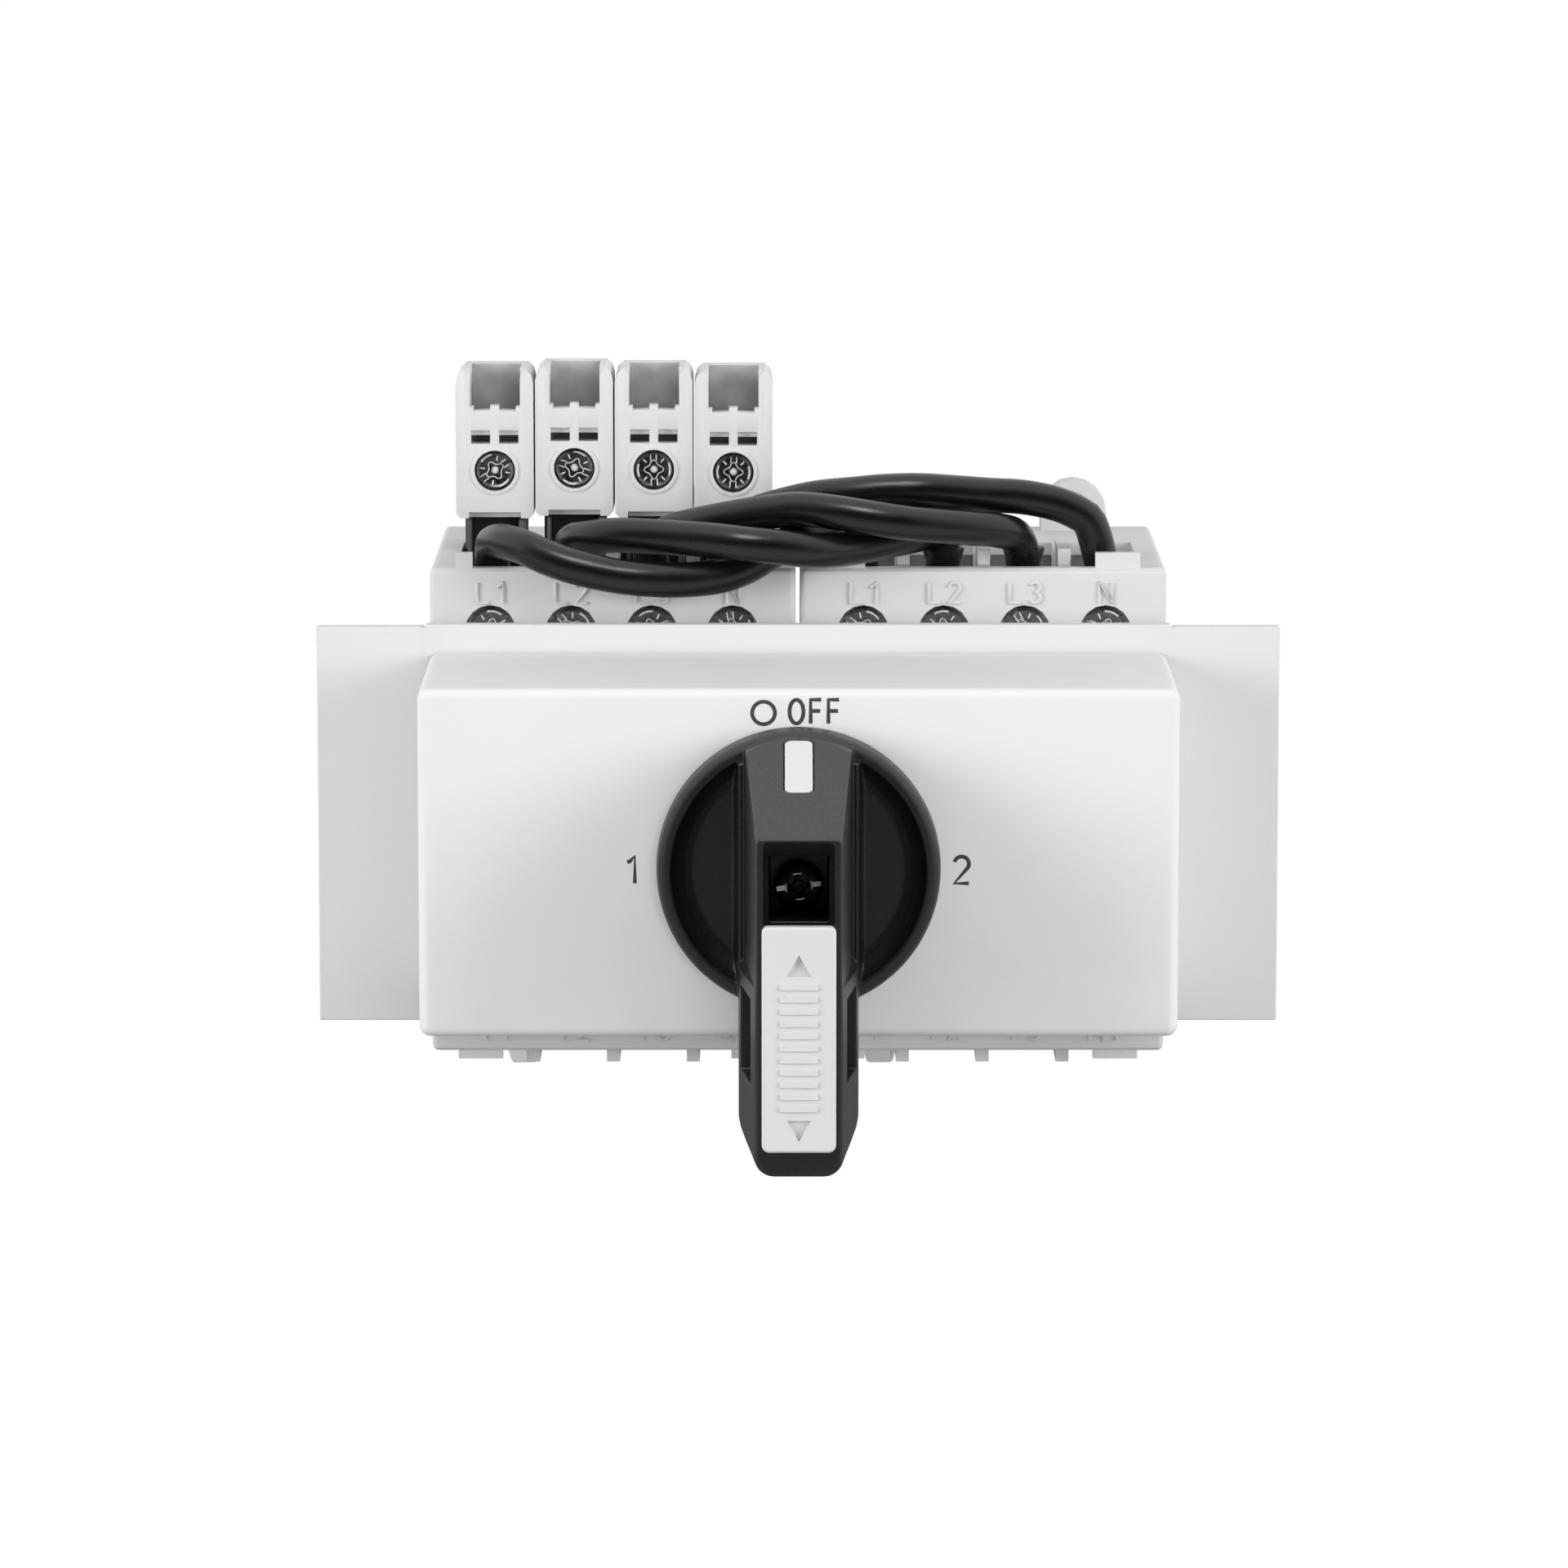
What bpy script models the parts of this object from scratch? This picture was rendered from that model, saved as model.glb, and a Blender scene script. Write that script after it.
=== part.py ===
"""Manual transfer switch for a 35 mm DIN rail.

Two four-pole switch modules stand side by side on the rail. A mechanism box bridges them, and its
turning handle drives one gear for each module, so that only one module can be closed at a time.
Four jumper wires join the poles of one module to those of the other, and four extension terminals
stand on the left module.

The frame: the origin is the centre of the face that rests on the rail, +X is to the right,
-Y is to the front and +Z is up. Every size below is in millimetres; meshes are made in metres.
"""

import math

import bmesh
import bpy
from mathutils import Vector

MM = 0.001
GAP = 0.3          # between pieces that touch or slide
OVER = 0.5         # how far a cutter runs past the face that it cuts
SIDES = 16         # sides of a round piece
SMALL_SIDES = 10

# Depths, as places along Y
RAIL_SEAT = 0.0
REAR_FACE = 5.5
SHELL_SPLIT = -8.0
MODULE_FRONT = -36.0
PLATE_FRONT = -46.0
COVER_FRONT = -76.0
GRIP_FRONT = -100.0

# Switch modules
POLE_PITCH = 9.2
POLES = [-1.5 * POLE_PITCH, -0.5 * POLE_PITCH, 0.5 * POLE_PITCH, 1.5 * POLE_PITCH]
MODULE_X = 21.25           # a module's axis, which is its rotor's
MODULE_INNER = 20.97       # from the module's axis to its side at the other module
MODULE_OUTER = 20.70
MODULE_HALF_HEIGHT = 27.9
WALL = 1.6
CAVITY_HALF_HEIGHT = 13.7
POCKET_FLOOR = 14.9        # a terminal pocket's inner end, as a height
POCKET_HALF_WIDTH = 3.9
POCKET_FRONT = -33.8
TERMINAL_SCREW_Z = 20.8
SCREW_BORE = 2.9
SHAFT_HOLE = 3.3

# Collar plate and cover box
COLLAR_HALF_HEIGHT = 22.5
PLATE_TOP = 22.75
PLATE_BACK = -44.2
PLATE_HALF_WIDTH = 42.0
TRAY_HALF_HEIGHT = 19.9    # the body behind the plate, which the plate's edges stand clear of
TRAY_INSIDE = 18.1
WING_OUTER = 54.3
COVER_HALF_WIDTH = 41.65
COVER_BOTTOM = -19.05
COVER_TOP = 19.55

# Gears and contacts
GEAR_TEETH = 17
GEAR_PITCH_RADIUS = MODULE_X / 2
GEAR_FRONT = -56.4
GEAR_BACK = -52.4
PINION_TEETH = 8
PINION_PITCH_RADIUS = 2.0
RACK_PITCH = 2 * math.pi * PINION_PITCH_RADIUS / PINION_TEETH

# Handle
KNOB_RADIUS = 15.55
KNOB_BACK = -76.4
KNOB_RIM = -80.6
CHEEK_FLOOR = -78.4
RAMP_EDGE = 14.9           # the arc that ends the ramp on the grip's top side: its height
RAMP_EDGE_RADIUS = 13.6
RAMP_TOP = 14.9            # the ramp's height at the rim's depth
RAMP_BOTTOM = 6.6          # the ramp's height at the grip's front
GRIP_HALF_WIDTH = 6.55
GRIP_FRONT_HALF_WIDTH = 4.6
WINDOW_HALF_WIDTH = 3.24
WINDOW_TOP = 4.6
SLIDER_TOP = -2.5
SLIDER_BOTTOM = -27.1

# Extension terminals
EXTENSION_HALF_WIDTH = 4.5
EXTENSION_FRONT = -20.0
EXTENSION_BACK = -8.6
EXTENSION_BOTTOM = 31.8
EXTENSION_TOP = 49.0
EXTENSION_STAGGER = [0.0, 0.3, 0.1, -0.2]
EXTENSION_SCREW_Z = 37.3

# Rail clips: both modules carry theirs this far left of the module's axis
CLIP_OFFSET = -11.4
CLIP_TIP = -36.2
LUG_OFFSET = 11.4

# Jumper wires: the points of each route, from the left module's pole to the right module's
WIRE_DIAMETER = 4.0
WIRE_STEP = 3.0
WIRE_ROUTES = {
    "L1": [
        (-35.0, -30.0, 20.5), (-35.0, -30.0, 26.0), (-35.0, -30.8, 29.5), (-34.6, -33.2, 30.6),
        (-33.2, -36.6, 31.0), (-30.9, -39.4, 30.7), (-28.6, -40.8, 29.8), (-26.1, -41.6, 29.0),
        (-23.5, -42.0, 28.4), (-20.5, -42.2, 27.8), (-17.6, -42.2, 27.5), (-14.6, -41.8, 27.3),
        (-11.7, -41.0, 27.3), (-8.7, -39.9, 27.6), (-5.8, -38.9, 28.5), (-2.9, -37.6, 30.1),
        (0.3, -35.6, 31.2), (3.3, -33.0, 31.7), (5.9, -31.0, 30.6), (7.4, -30.0, 26.8),
        (7.4, -30.0, 20.5),
    ],
    "L2": [
        (-25.9, -30.0, 20.5), (-25.9, -30.0, 26.0), (-26.0, -30.8, 29.5), (-25.6, -33.0, 30.7),
        (-24.1, -35.6, 31.3), (-21.1, -37.6, 31.9), (-17.3, -39.0, 32.0), (-13.6, -40.2, 31.9),
        (-9.9, -41.4, 31.8), (-6.2, -42.4, 31.5), (-2.1, -42.2, 31.1), (2.1, -40.6, 30.5),
        (6.0, -38.0, 30.5), (9.6, -36.4, 31.0), (12.6, -34.8, 31.4), (15.1, -32.4, 31.6),
        (16.5, -30.8, 30.2), (16.6, -30.0, 26.0), (16.6, -30.0, 20.5),
    ],
    "L3": [
        (-16.6, -30.0, 20.5), (-16.6, -30.0, 26.0), (-16.9, -30.0, 29.1), (-16.5, -30.8, 30.5),
        (-14.2, -32.6, 31.8), (-11.1, -34.2, 32.8), (-7.5, -35.2, 33.6), (-3.6, -36.4, 34.4),
        (0.3, -37.8, 34.9), (4.1, -39.2, 34.7), (8.0, -40.0, 34.2), (11.9, -39.9, 33.6),
        (15.8, -38.6, 33.1), (19.8, -36.8, 32.6), (23.0, -34.8, 32.1), (25.2, -32.0, 30.7),
        (25.9, -30.0, 26.0), (25.9, -30.0, 20.5),
    ],
    "N": [
        (-7.5, -30.0, 20.5), (-7.5, -30.0, 26.0), (-7.6, -30.0, 29.1), (-7.9, -29.4, 30.7),
        (-7.0, -29.4, 32.2), (-4.6, -30.2, 33.6), (-1.4, -31.2, 34.7), (2.2, -32.2, 35.6),
        (6.1, -33.2, 36.1), (10.0, -33.6, 36.5), (14.0, -33.8, 36.6), (17.9, -33.2, 36.3),
        (21.8, -32.2, 35.9), (25.7, -31.6, 35.6), (29.2, -31.4, 34.9), (31.8, -31.0, 33.8),
        (33.6, -30.6, 32.1), (35.0, -30.0, 26.0), (35.0, -30.0, 20.5),
    ],
}

# The finishes: colour, roughness and metallic value
FINISHES = {
    "light_grey_plastic": ((0.74, 0.74, 0.73), 0.45, 0.0),
    "white_plastic": ((0.83, 0.83, 0.82), 0.40, 0.0),
    "dark_grey_plastic": ((0.09, 0.09, 0.09), 0.50, 0.0),
    "black_plastic": ((0.03, 0.03, 0.03), 0.55, 0.0),
    "black_insulation": ((0.02, 0.02, 0.02), 0.35, 0.0),
    "ivory_plastic": ((0.70, 0.66, 0.55), 0.45, 0.0),
    "zinc_steel": ((0.62, 0.62, 0.60), 0.30, 1.0),
    "spring_steel": ((0.50, 0.50, 0.50), 0.25, 1.0),
}


# ---------------------------------------------------------------------------------------------
# Shapes. Each returns a mesh object in the piece's own coordinates.
# ---------------------------------------------------------------------------------------------


def clear_scene():
    for thing in list(bpy.data.objects):
        bpy.data.objects.remove(thing)


def make_materials():
    made = {}
    for name, (colour, roughness, metallic) in FINISHES.items():
        material = bpy.data.materials.new(name)
        material.use_nodes = True
        shader = material.node_tree.nodes["Principled BSDF"]
        shader.inputs["Base Color"].default_value = (*colour, 1.0)
        shader.inputs["Roughness"].default_value = roughness
        shader.inputs["Metallic"].default_value = metallic
        material.diffuse_color = (*colour, 1.0)
        made[name] = material
    return made


def mesh_object(bm):
    bmesh.ops.recalc_face_normals(bm, faces=bm.faces)
    mesh = bpy.data.meshes.new("mesh")
    bm.to_mesh(mesh)
    bm.free()
    made = bpy.data.objects.new("piece", mesh)
    bpy.context.scene.collection.objects.link(made)
    return made


def loft(rings):
    """A closed solid through rings of the same number of points, in mm, with flat ends."""
    bm = bmesh.new()
    loops = [[bm.verts.new(Vector(point) * MM) for point in ring] for ring in rings]
    count = len(rings[0])
    for first, second in zip(loops, loops[1:]):
        for i in range(count):
            j = (i + 1) % count
            bm.faces.new((first[i], first[j], second[j], second[i]))
    bm.faces.new(loops[0])
    bm.faces.new(loops[-1])
    return mesh_object(bm)


def prism(outline, axis, low, high):
    """The outline, points in the two other directions in X, Y, Z order, drawn along the axis."""
    place = {
        "X": lambda a, b, along: (along, a, b),
        "Y": lambda a, b, along: (a, along, b),
        "Z": lambda a, b, along: (a, b, along),
    }[axis]
    return loft([[place(a, b, along) for a, b in outline] for along in (low, high)])


def rectangle(x, z):
    return [(x[0], z[0]), (x[1], z[0]), (x[1], z[1]), (x[0], z[1])]


def block(x, y, z):
    """A box from its two places along each direction, in either order."""
    return prism(rectangle(sorted(x), sorted(z)), "Y", *sorted(y))


def rounded_rectangle(x, z, radius, steps=3):
    """The outline of a rectangle with arcs for its corners."""
    points = []
    corners = [(x[1], z[0], -90), (x[1], z[1], 0), (x[0], z[1], 90), (x[0], z[0], 180)]
    for corner_x, corner_z, start in corners:
        centre_x = corner_x - math.copysign(radius, corner_x - (x[0] + x[1]) / 2)
        centre_z = corner_z - math.copysign(radius, corner_z - (z[0] + z[1]) / 2)
        for step in range(steps + 1):
            angle = math.radians(start + 90 * step / steps)
            points.append((centre_x + radius * math.cos(angle), centre_z + radius * math.sin(angle)))
    return points


def soft_block(x, y, z, radius, front_radius):
    """A box that faces -Y, with round corners and its front edge rounded in two steps."""
    x, y, z = sorted(x), sorted(y), sorted(z)
    rings = []
    for share in (0.0, 0.3, 1.0):
        inset = front_radius * (1 - math.sin(share * math.pi / 2))
        depth = y[0] + front_radius * (1 - math.cos(share * math.pi / 2))
        outline = rounded_rectangle(
            (x[0] + inset, x[1] - inset), (z[0] + inset, z[1] - inset), max(radius - inset, 0.1)
        )
        rings.append([(a, depth, b) for a, b in outline])
    rings.append([(a, y[1], b) for a, b in rounded_rectangle(x, z, radius)])
    return loft(rings)


def circle(radius, sides=SIDES, centre=(0.0, 0.0)):
    turn = 2 * math.pi / sides
    return [
        (centre[0] + radius * math.cos(turn * i), centre[1] + radius * math.sin(turn * i))
        for i in range(sides)
    ]


def rod(radius, y, centre=(0.0, 0.0), sides=SIDES):
    """A round bar along Y."""
    return prism(circle(radius, sides, centre), "Y", *sorted(y))


def turned(profile, centre=(0.0, 0.0), sides=SIDES):
    """A solid turned about an axis along Y, from its (place along Y, radius) points."""
    rings = []
    for depth, radius in profile:
        rings.append([(a, depth, b) for a, b in circle(radius, sides, centre)])
    return loft(rings)


def combine(body, tools, operation):
    """Cuts the tools from the body, joins them to it or keeps what they share. The tools are used up."""
    for tool in tools:
        modifier = body.modifiers.new("combine", "BOOLEAN")
        modifier.operation = operation
        modifier.solver = "EXACT"
        modifier.object = tool
        graph = bpy.context.evaluated_depsgraph_get()
        mesh = bpy.data.meshes.new_from_object(body.evaluated_get(graph))
        body.modifiers.remove(modifier)
        body.data = mesh
        bpy.data.objects.remove(tool)
    return body


def cut(body, *tools):
    return combine(body, tools, "DIFFERENCE")


def join(body, *tools):
    return combine(body, tools, "UNION")


def keep_inside(body, tool):
    return combine(body, [tool], "INTERSECT")


def tidy(body):
    """Melts the loose edges that a cut or a join leaves on flat faces."""
    bm = bmesh.new()
    bm.from_mesh(body.data)
    bmesh.ops.remove_doubles(bm, verts=bm.verts, dist=0.005 * MM)
    bmesh.ops.dissolve_limit(bm, angle_limit=math.radians(0.2), verts=bm.verts, edges=bm.edges)
    bm.to_mesh(body.data)
    bm.free()
    return body


def gear_outline(teeth, root, tip, root_half, tip_half, start=0.0):
    """A spur gear's outline with straight-sided teeth, one of them centred on the start angle."""
    points = []
    for tooth in range(teeth):
        centre = start + 2 * math.pi * tooth / teeth
        for radius, half in ((root, -root_half), (tip, -tip_half), (tip, tip_half), (root, root_half)):
            angle = centre + half / radius
            points.append((radius * math.cos(angle), radius * math.sin(angle)))
    return points


def smooth_route(points, step):
    """Points a step apart, in mm, along a smooth curve through the route's own points."""
    first = 2 * Vector(points[0]) - Vector(points[1])
    last = 2 * Vector(points[-1]) - Vector(points[-2])
    knots = [first, *(Vector(p) for p in points), last]
    fine = []
    parts = 24
    for a, b, c, d in zip(knots, knots[1:], knots[2:], knots[3:]):
        for i in range(parts):
            t = i / parts
            fine.append(
                0.5 * (2 * b + (c - a) * t + (2 * a - 5 * b + 4 * c - d) * t ** 2
                       + (3 * b - a - 3 * c + d) * t ** 3)
            )
    fine.append(knots[-2])
    along = [0.0]
    for a, b in zip(fine, fine[1:]):
        along.append(along[-1] + (b - a).length)
    count = max(2, round(along[-1] / step))
    spaced = []
    index = 0
    for i in range(count):
        target = along[-1] * i / count
        while along[index + 1] < target:
            index += 1
        share = (target - along[index]) / (along[index + 1] - along[index])
        spaced.append(fine[index].lerp(fine[index + 1], share))
    spaced.append(fine[-1])
    return spaced


# ---------------------------------------------------------------------------------------------
# The assembly
# ---------------------------------------------------------------------------------------------


class Assembly:
    """Names the pieces and gives them their place, their parent and their finish."""

    def __init__(self):
        self.materials = make_materials()
        self.root = self.empty("transfer_switch", None, (0.0, 0.0, 0.0))

    def empty(self, name, parent, place):
        made = bpy.data.objects.new(name, None)
        made.location = Vector(place) * MM
        made.parent = parent
        bpy.context.scene.collection.objects.link(made)
        return made

    def add(self, name, piece, finish, parent=None, place=(0.0, 0.0, 0.0), smooth=True):
        piece.name = name
        piece.data.name = name
        piece.parent = parent or self.root
        piece.location = Vector(place) * MM
        piece.data.materials.clear()
        piece.data.materials.append(self.materials[finish])
        if smooth:
            piece.data.shade_smooth()
            piece.data.set_sharp_from_angle(angle=math.radians(32))
        return piece


# ---------------------------------------------------------------------------------------------
# Switch modules. X runs from the module's axis; side is -1 for the left module, 1 for the right.
# ---------------------------------------------------------------------------------------------


def terminal_pocket(pole, end):
    """What is cut away for one terminal; end is 1 at the top and -1 at the bottom."""
    entry_back = -10.4 if end > 0 else -26.0
    width = (pole - POCKET_HALF_WIDTH, pole + POCKET_HALF_WIDTH)
    return [
        block(width, (POCKET_FRONT, SHELL_SPLIT + OVER), (end * POCKET_FLOOR, end * 26.4)),
        block(width, (POCKET_FRONT, entry_back), (end * 26.0, end * (MODULE_HALF_HEIGHT + OVER))),
        rod(SCREW_BORE, (MODULE_FRONT - OVER, POCKET_FRONT + OVER), (pole, end * TERMINAL_SCREW_Z)),
    ]


def contact_slot(side, pole, end):
    """The opening between a terminal pocket and the contacts' cavity, for the fixed contact."""
    return block(
        (pole - side * 3.7, pole - side * 1.6),
        (-23.8, -20.0),
        (end * (CAVITY_HALF_HEIGHT - OVER), end * (POCKET_FLOOR + OVER)),
    )


def outside_ribs(side):
    """The barriers between the wire entries and the low walls at the ends, on top and below."""
    ribs = []
    base = MODULE_HALF_HEIGHT - OVER
    for end, height, front, back in ((1, 29.7, -32.0, -21.0), (-1, 29.7, -33.0, -24.0)):
        for place in (-POLE_PITCH, 0.0, POLE_PITCH):
            ribs.append(block((place - 0.75, place + 0.75), (front, back), (end * base, end * height)))
    walls = [(12.65, 17.75), (-18.72, -13.6)]
    for end, height in ((1, 29.6), (-1, 28.9)):
        for low, high in walls:
            if end > 0 and side < 0 and low > 0:
                low = 15.8      # the first wire leans over the left module's outer wall
            ribs.append(block((side * low, side * high), (-35.4, -34.0), (end * base, end * height)))
    return ribs


def housing(side):
    inner = -side * MODULE_INNER
    outer = side * MODULE_OUTER
    half = MODULE_HALF_HEIGHT
    shell = soft_block((inner, outer), (MODULE_FRONT, SHELL_SPLIT), (-half, half), 0.7, 0.6)
    join(shell, *outside_ribs(side))
    cavity_inner = inner + side * WALL
    cavity_outer = outer - side * WALL
    cavity_z = (-CAVITY_HALF_HEIGHT, CAVITY_HALF_HEIGHT)
    cut(
        shell,
        block((cavity_inner, cavity_outer), (MODULE_FRONT + WALL, SHELL_SPLIT + OVER), cavity_z),
    )
    for end in (1, -1):
        for pole in POLES:
            cut(shell, *terminal_pocket(pole, end), contact_slot(side, pole, end))
    for end in (1, -1):
        guide = block((cavity_inner - side * OVER, cavity_outer + side * OVER),
                      (MODULE_FRONT + WALL / 2, -23.0), (end * 6.4, end * 7.6))
        join(shell, guide)
    for offset in (-12.0, 12.0):
        boss = rod(2.6, (MODULE_FRONT + WALL / 2, -30.6), (offset, 0.0), SMALL_SIDES)
        join(shell, boss)
        cut(shell, rod(1.5, (MODULE_FRONT - OVER, -30.6 + OVER), (offset, 0.0), SMALL_SIDES))
    cut(shell, rod(SHAFT_HOLE, (MODULE_FRONT - OVER, MODULE_FRONT + WALL + OVER)))
    return tidy(shell)


def rear_shell(side):
    inner = -side * MODULE_INNER
    outer = side * MODULE_OUTER
    half = MODULE_HALF_HEIGHT
    width = (inner, outer)
    past = (inner - side * OVER, outer + side * OVER)
    outline = rounded_rectangle(sorted(width), (-half, half), 0.7)
    shell = prism(outline, "Y", SHELL_SPLIT + GAP, REAR_FACE)
    lug = rod(3.9, (0.8, 4.2), (LUG_OFFSET, 30.1), SIDES)
    lug_foot = block((LUG_OFFSET - 3.9, LUG_OFFSET + 3.9), (0.8, 4.2), (27.0, 30.1))
    join(shell, join(lug_foot, lug))
    cut(
        shell,
        rod(1.9, (0.0, 5.0), (LUG_OFFSET, 30.6), SMALL_SIDES),
        block((inner + side * 2.2, outer - side * 2.2), (SHELL_SPLIT, -3.0), (-13.4, 13.4)),
        block(past, (RAIL_SEAT, 1.4), (-15.3, 15.4)),
        block(past, (RAIL_SEAT + 0.15, 1.4), (-17.8, 17.8)),
        block(past, (1.2, REAR_FACE + OVER), (-17.8, 15.6)),
        rod(1.5, (-3.0 - OVER, -0.9), sides=SMALL_SIDES),
    )
    clip = CLIP_OFFSET
    cut(
        shell,
        block((clip - 4.3, clip + 4.3), (1.1, 4.0), (-half - OVER, -17.0)),
        block((clip - 2.2, clip + 2.2), (-3.4, 1.6), (-26.6, -17.0)),
    )
    return tidy(shell)


def terminal(side, pole, end):
    """A cage clamp with its screw and the fixed contact that reaches into the cavity, as one."""
    screw_z = end * TERMINAL_SCREW_Z
    cage_x = (pole - 3.4, pole + 3.4)
    contact_x = (pole - side * 3.4, pole - side * 1.9)
    body = block(cage_x, (-33.4, -32.4), (end * 16.2, end * 25.4))
    join(
        body,
        block(cage_x, (-27.6, -26.4), (end * 15.4, end * 24.0)),
        block(cage_x, (-33.4, -26.4), (end * 15.2, end * 16.4)),
        block(contact_x, (-27.0, -20.4), (end * 15.3, end * 16.3)),
        block(contact_x, (-23.4, -22.6), (end * 11.4, end * 16.1)),
        block(contact_x, (-21.2, -20.5), (end * 11.4, end * 16.1)),
        turned([(-35.0, 2.3), (-34.8, 2.5), (-33.2, 2.5)], (pole, screw_z), SMALL_SIDES),
    )
    slot_half = 0.4
    cut(body, block((pole - 3.0, pole + 3.0), (-36.0, -34.3), (screw_z - slot_half, screw_z + slot_half)))
    return tidy(body)


def rotor(start):
    """A module's switch shaft, with the pinion that moves the contact carrier."""
    shaft = turned(
        [(-57.2, 2.8), (-57.0, 3.0), (-34.0, 3.0), (-34.0, 1.35), (-15.6, 1.35), (-15.6, 1.2), (-1.2, 1.2)],
        sides=16,
    )
    pinion = prism(gear_outline(PINION_TEETH, 1.45, 2.3, 0.34, 0.11, start), "Y", -19.6, -15.4)
    return tidy(join(shaft, pinion))


def contact_carrier():
    """The moulded slide with one moving blade for each pole and the rack that drives it."""
    blades = [block((pole - 1.2, pole + 1.2), (-22.3, -21.5), (-13.0, 13.0)) for pole in POLES]
    body = join(block((-15.4, 15.4), (-24.6, -20.7), (-6.0, 6.0)), *blades)
    cut(body, block((-5.2, 5.2), (-25.0, -20.0), (-2.0, 2.0)))
    rack = [block((-7.4, 7.4), (-21.0, -15.4), (2.75, 4.8))]
    for tooth in range(-4, 5):
        centre = tooth * RACK_PITCH
        outline = [(centre - 0.33, 3.0), (centre + 0.33, 3.0), (centre + 0.11, 1.6), (centre - 0.11, 1.6)]
        rack.append(prism(outline, "Y", -19.6, -15.4))
    return tidy(join(body, *rack))


def din_clip():
    """The spring-loaded foot that hooks behind the rail's lower edge and is pulled down by its tab."""
    outline = [
        (-3.9, -15.5), (-3.9, -28.2), (-1.5, CLIP_TIP), (1.5, CLIP_TIP), (3.9, -28.2), (3.9, -15.5),
    ]
    plate = prism(outline, "Y", 1.5, 3.6)
    ear = block((-1.8, 1.8), (-3.0, 2.0), (-20.0, -18.8))
    slot = rod(0.9, (1.0, 4.2), (0.6, -33.4), SMALL_SIDES)
    return tidy(cut(join(plate, ear), slot))


def clip_spring():
    """A compression spring between the clip's ear and the rear shell."""
    turns, per_turn, sides = 4, 8, 4
    coil_radius, wire_radius = 1.25, 0.25
    bottom, top = -26.2 + wire_radius, -20.3 - wire_radius
    rings = []
    count = turns * per_turn
    for i in range(count + 1):
        angle = 2 * math.pi * i / per_turn
        height = bottom + (top - bottom) * i / count
        out = Vector((math.cos(angle), math.sin(angle), 0.0))
        middle = Vector((0.0, -1.2, height)) + out * coil_radius
        ring = []
        for side in range(sides):
            around = 2 * math.pi * side / sides
            offset = out * math.cos(around) + Vector((0.0, 0.0, 1.0)) * math.sin(around)
            ring.append(tuple(middle + offset * wire_radius))
        rings.append(ring)
    return loft(rings)


def make_module(assembly, label, side):
    axis = assembly.empty(label + "_module_axis", assembly.root, (side * MODULE_X, 0.0, 0.0))
    clip_axis = assembly.empty(label + "_clip_axis", axis, (CLIP_OFFSET, 0.0, 0.0))
    assembly.add(label + "_housing", housing(side), "light_grey_plastic", axis)
    assembly.add(label + "_rear_shell", rear_shell(side), "light_grey_plastic", axis)
    for end, level, names in ((1, "top", ("L1", "L2", "L3", "N")), (-1, "bottom", ("T1", "T2", "T3", "N1"))):
        for pole, name in zip(POLES, names):
            piece = terminal(side, pole, end)
            assembly.add(f"{label}_{level}_terminal_{name}", piece, "zinc_steel", axis)
    assembly.add(label + "_rotor", rotor(math.pi / PINION_TEETH), "ivory_plastic", axis)
    assembly.add(label + "_contact_carrier", contact_carrier(), "dark_grey_plastic", axis)
    gear = spur_gear(SHAFT_HOLE)
    assembly.add(label + "_gear", gear, "ivory_plastic", axis)
    assembly.add(label + "_din_clip", din_clip(), "light_grey_plastic", clip_axis)
    assembly.add(label + "_clip_spring", clip_spring(), "spring_steel", clip_axis)
    for number, offset in enumerate((-12.0, 12.0), start=1):
        name = f"{label}_mechanism_screw_{number}"
        assembly.add(name, mechanism_screw(), "zinc_steel", axis, (offset, 0.0, 0.0))


# ---------------------------------------------------------------------------------------------
# Mechanism: the collar plate, its wings, the cover box and the gears inside it
# ---------------------------------------------------------------------------------------------


def spur_gear(bore):
    """One of the three equal gears, with a hub behind its teeth."""
    root = GEAR_PITCH_RADIUS - 1.4
    tip = GEAR_PITCH_RADIUS + 1.05
    gear = prism(gear_outline(GEAR_TEETH, root, tip, 1.2, 0.5), "Y", GEAR_FRONT, GEAR_BACK)
    hub = rod(bore + 1.7, (GEAR_BACK - OVER, GEAR_BACK + 1.6))
    return tidy(cut(join(gear, hub), rod(bore, (GEAR_FRONT - OVER, GEAR_BACK + 1.6 + OVER))))


def mechanism_screw():
    screw = turned([(-48.4, 2.2), (-48.1, 2.6), (-46.3, 2.6), (-46.3, 1.2), (-31.2, 1.2)], sides=SMALL_SIDES)
    slot_half = 0.35
    return tidy(cut(screw, block((-3.0, 3.0), (-49.0, -47.5), (-slot_half, slot_half))))


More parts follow.
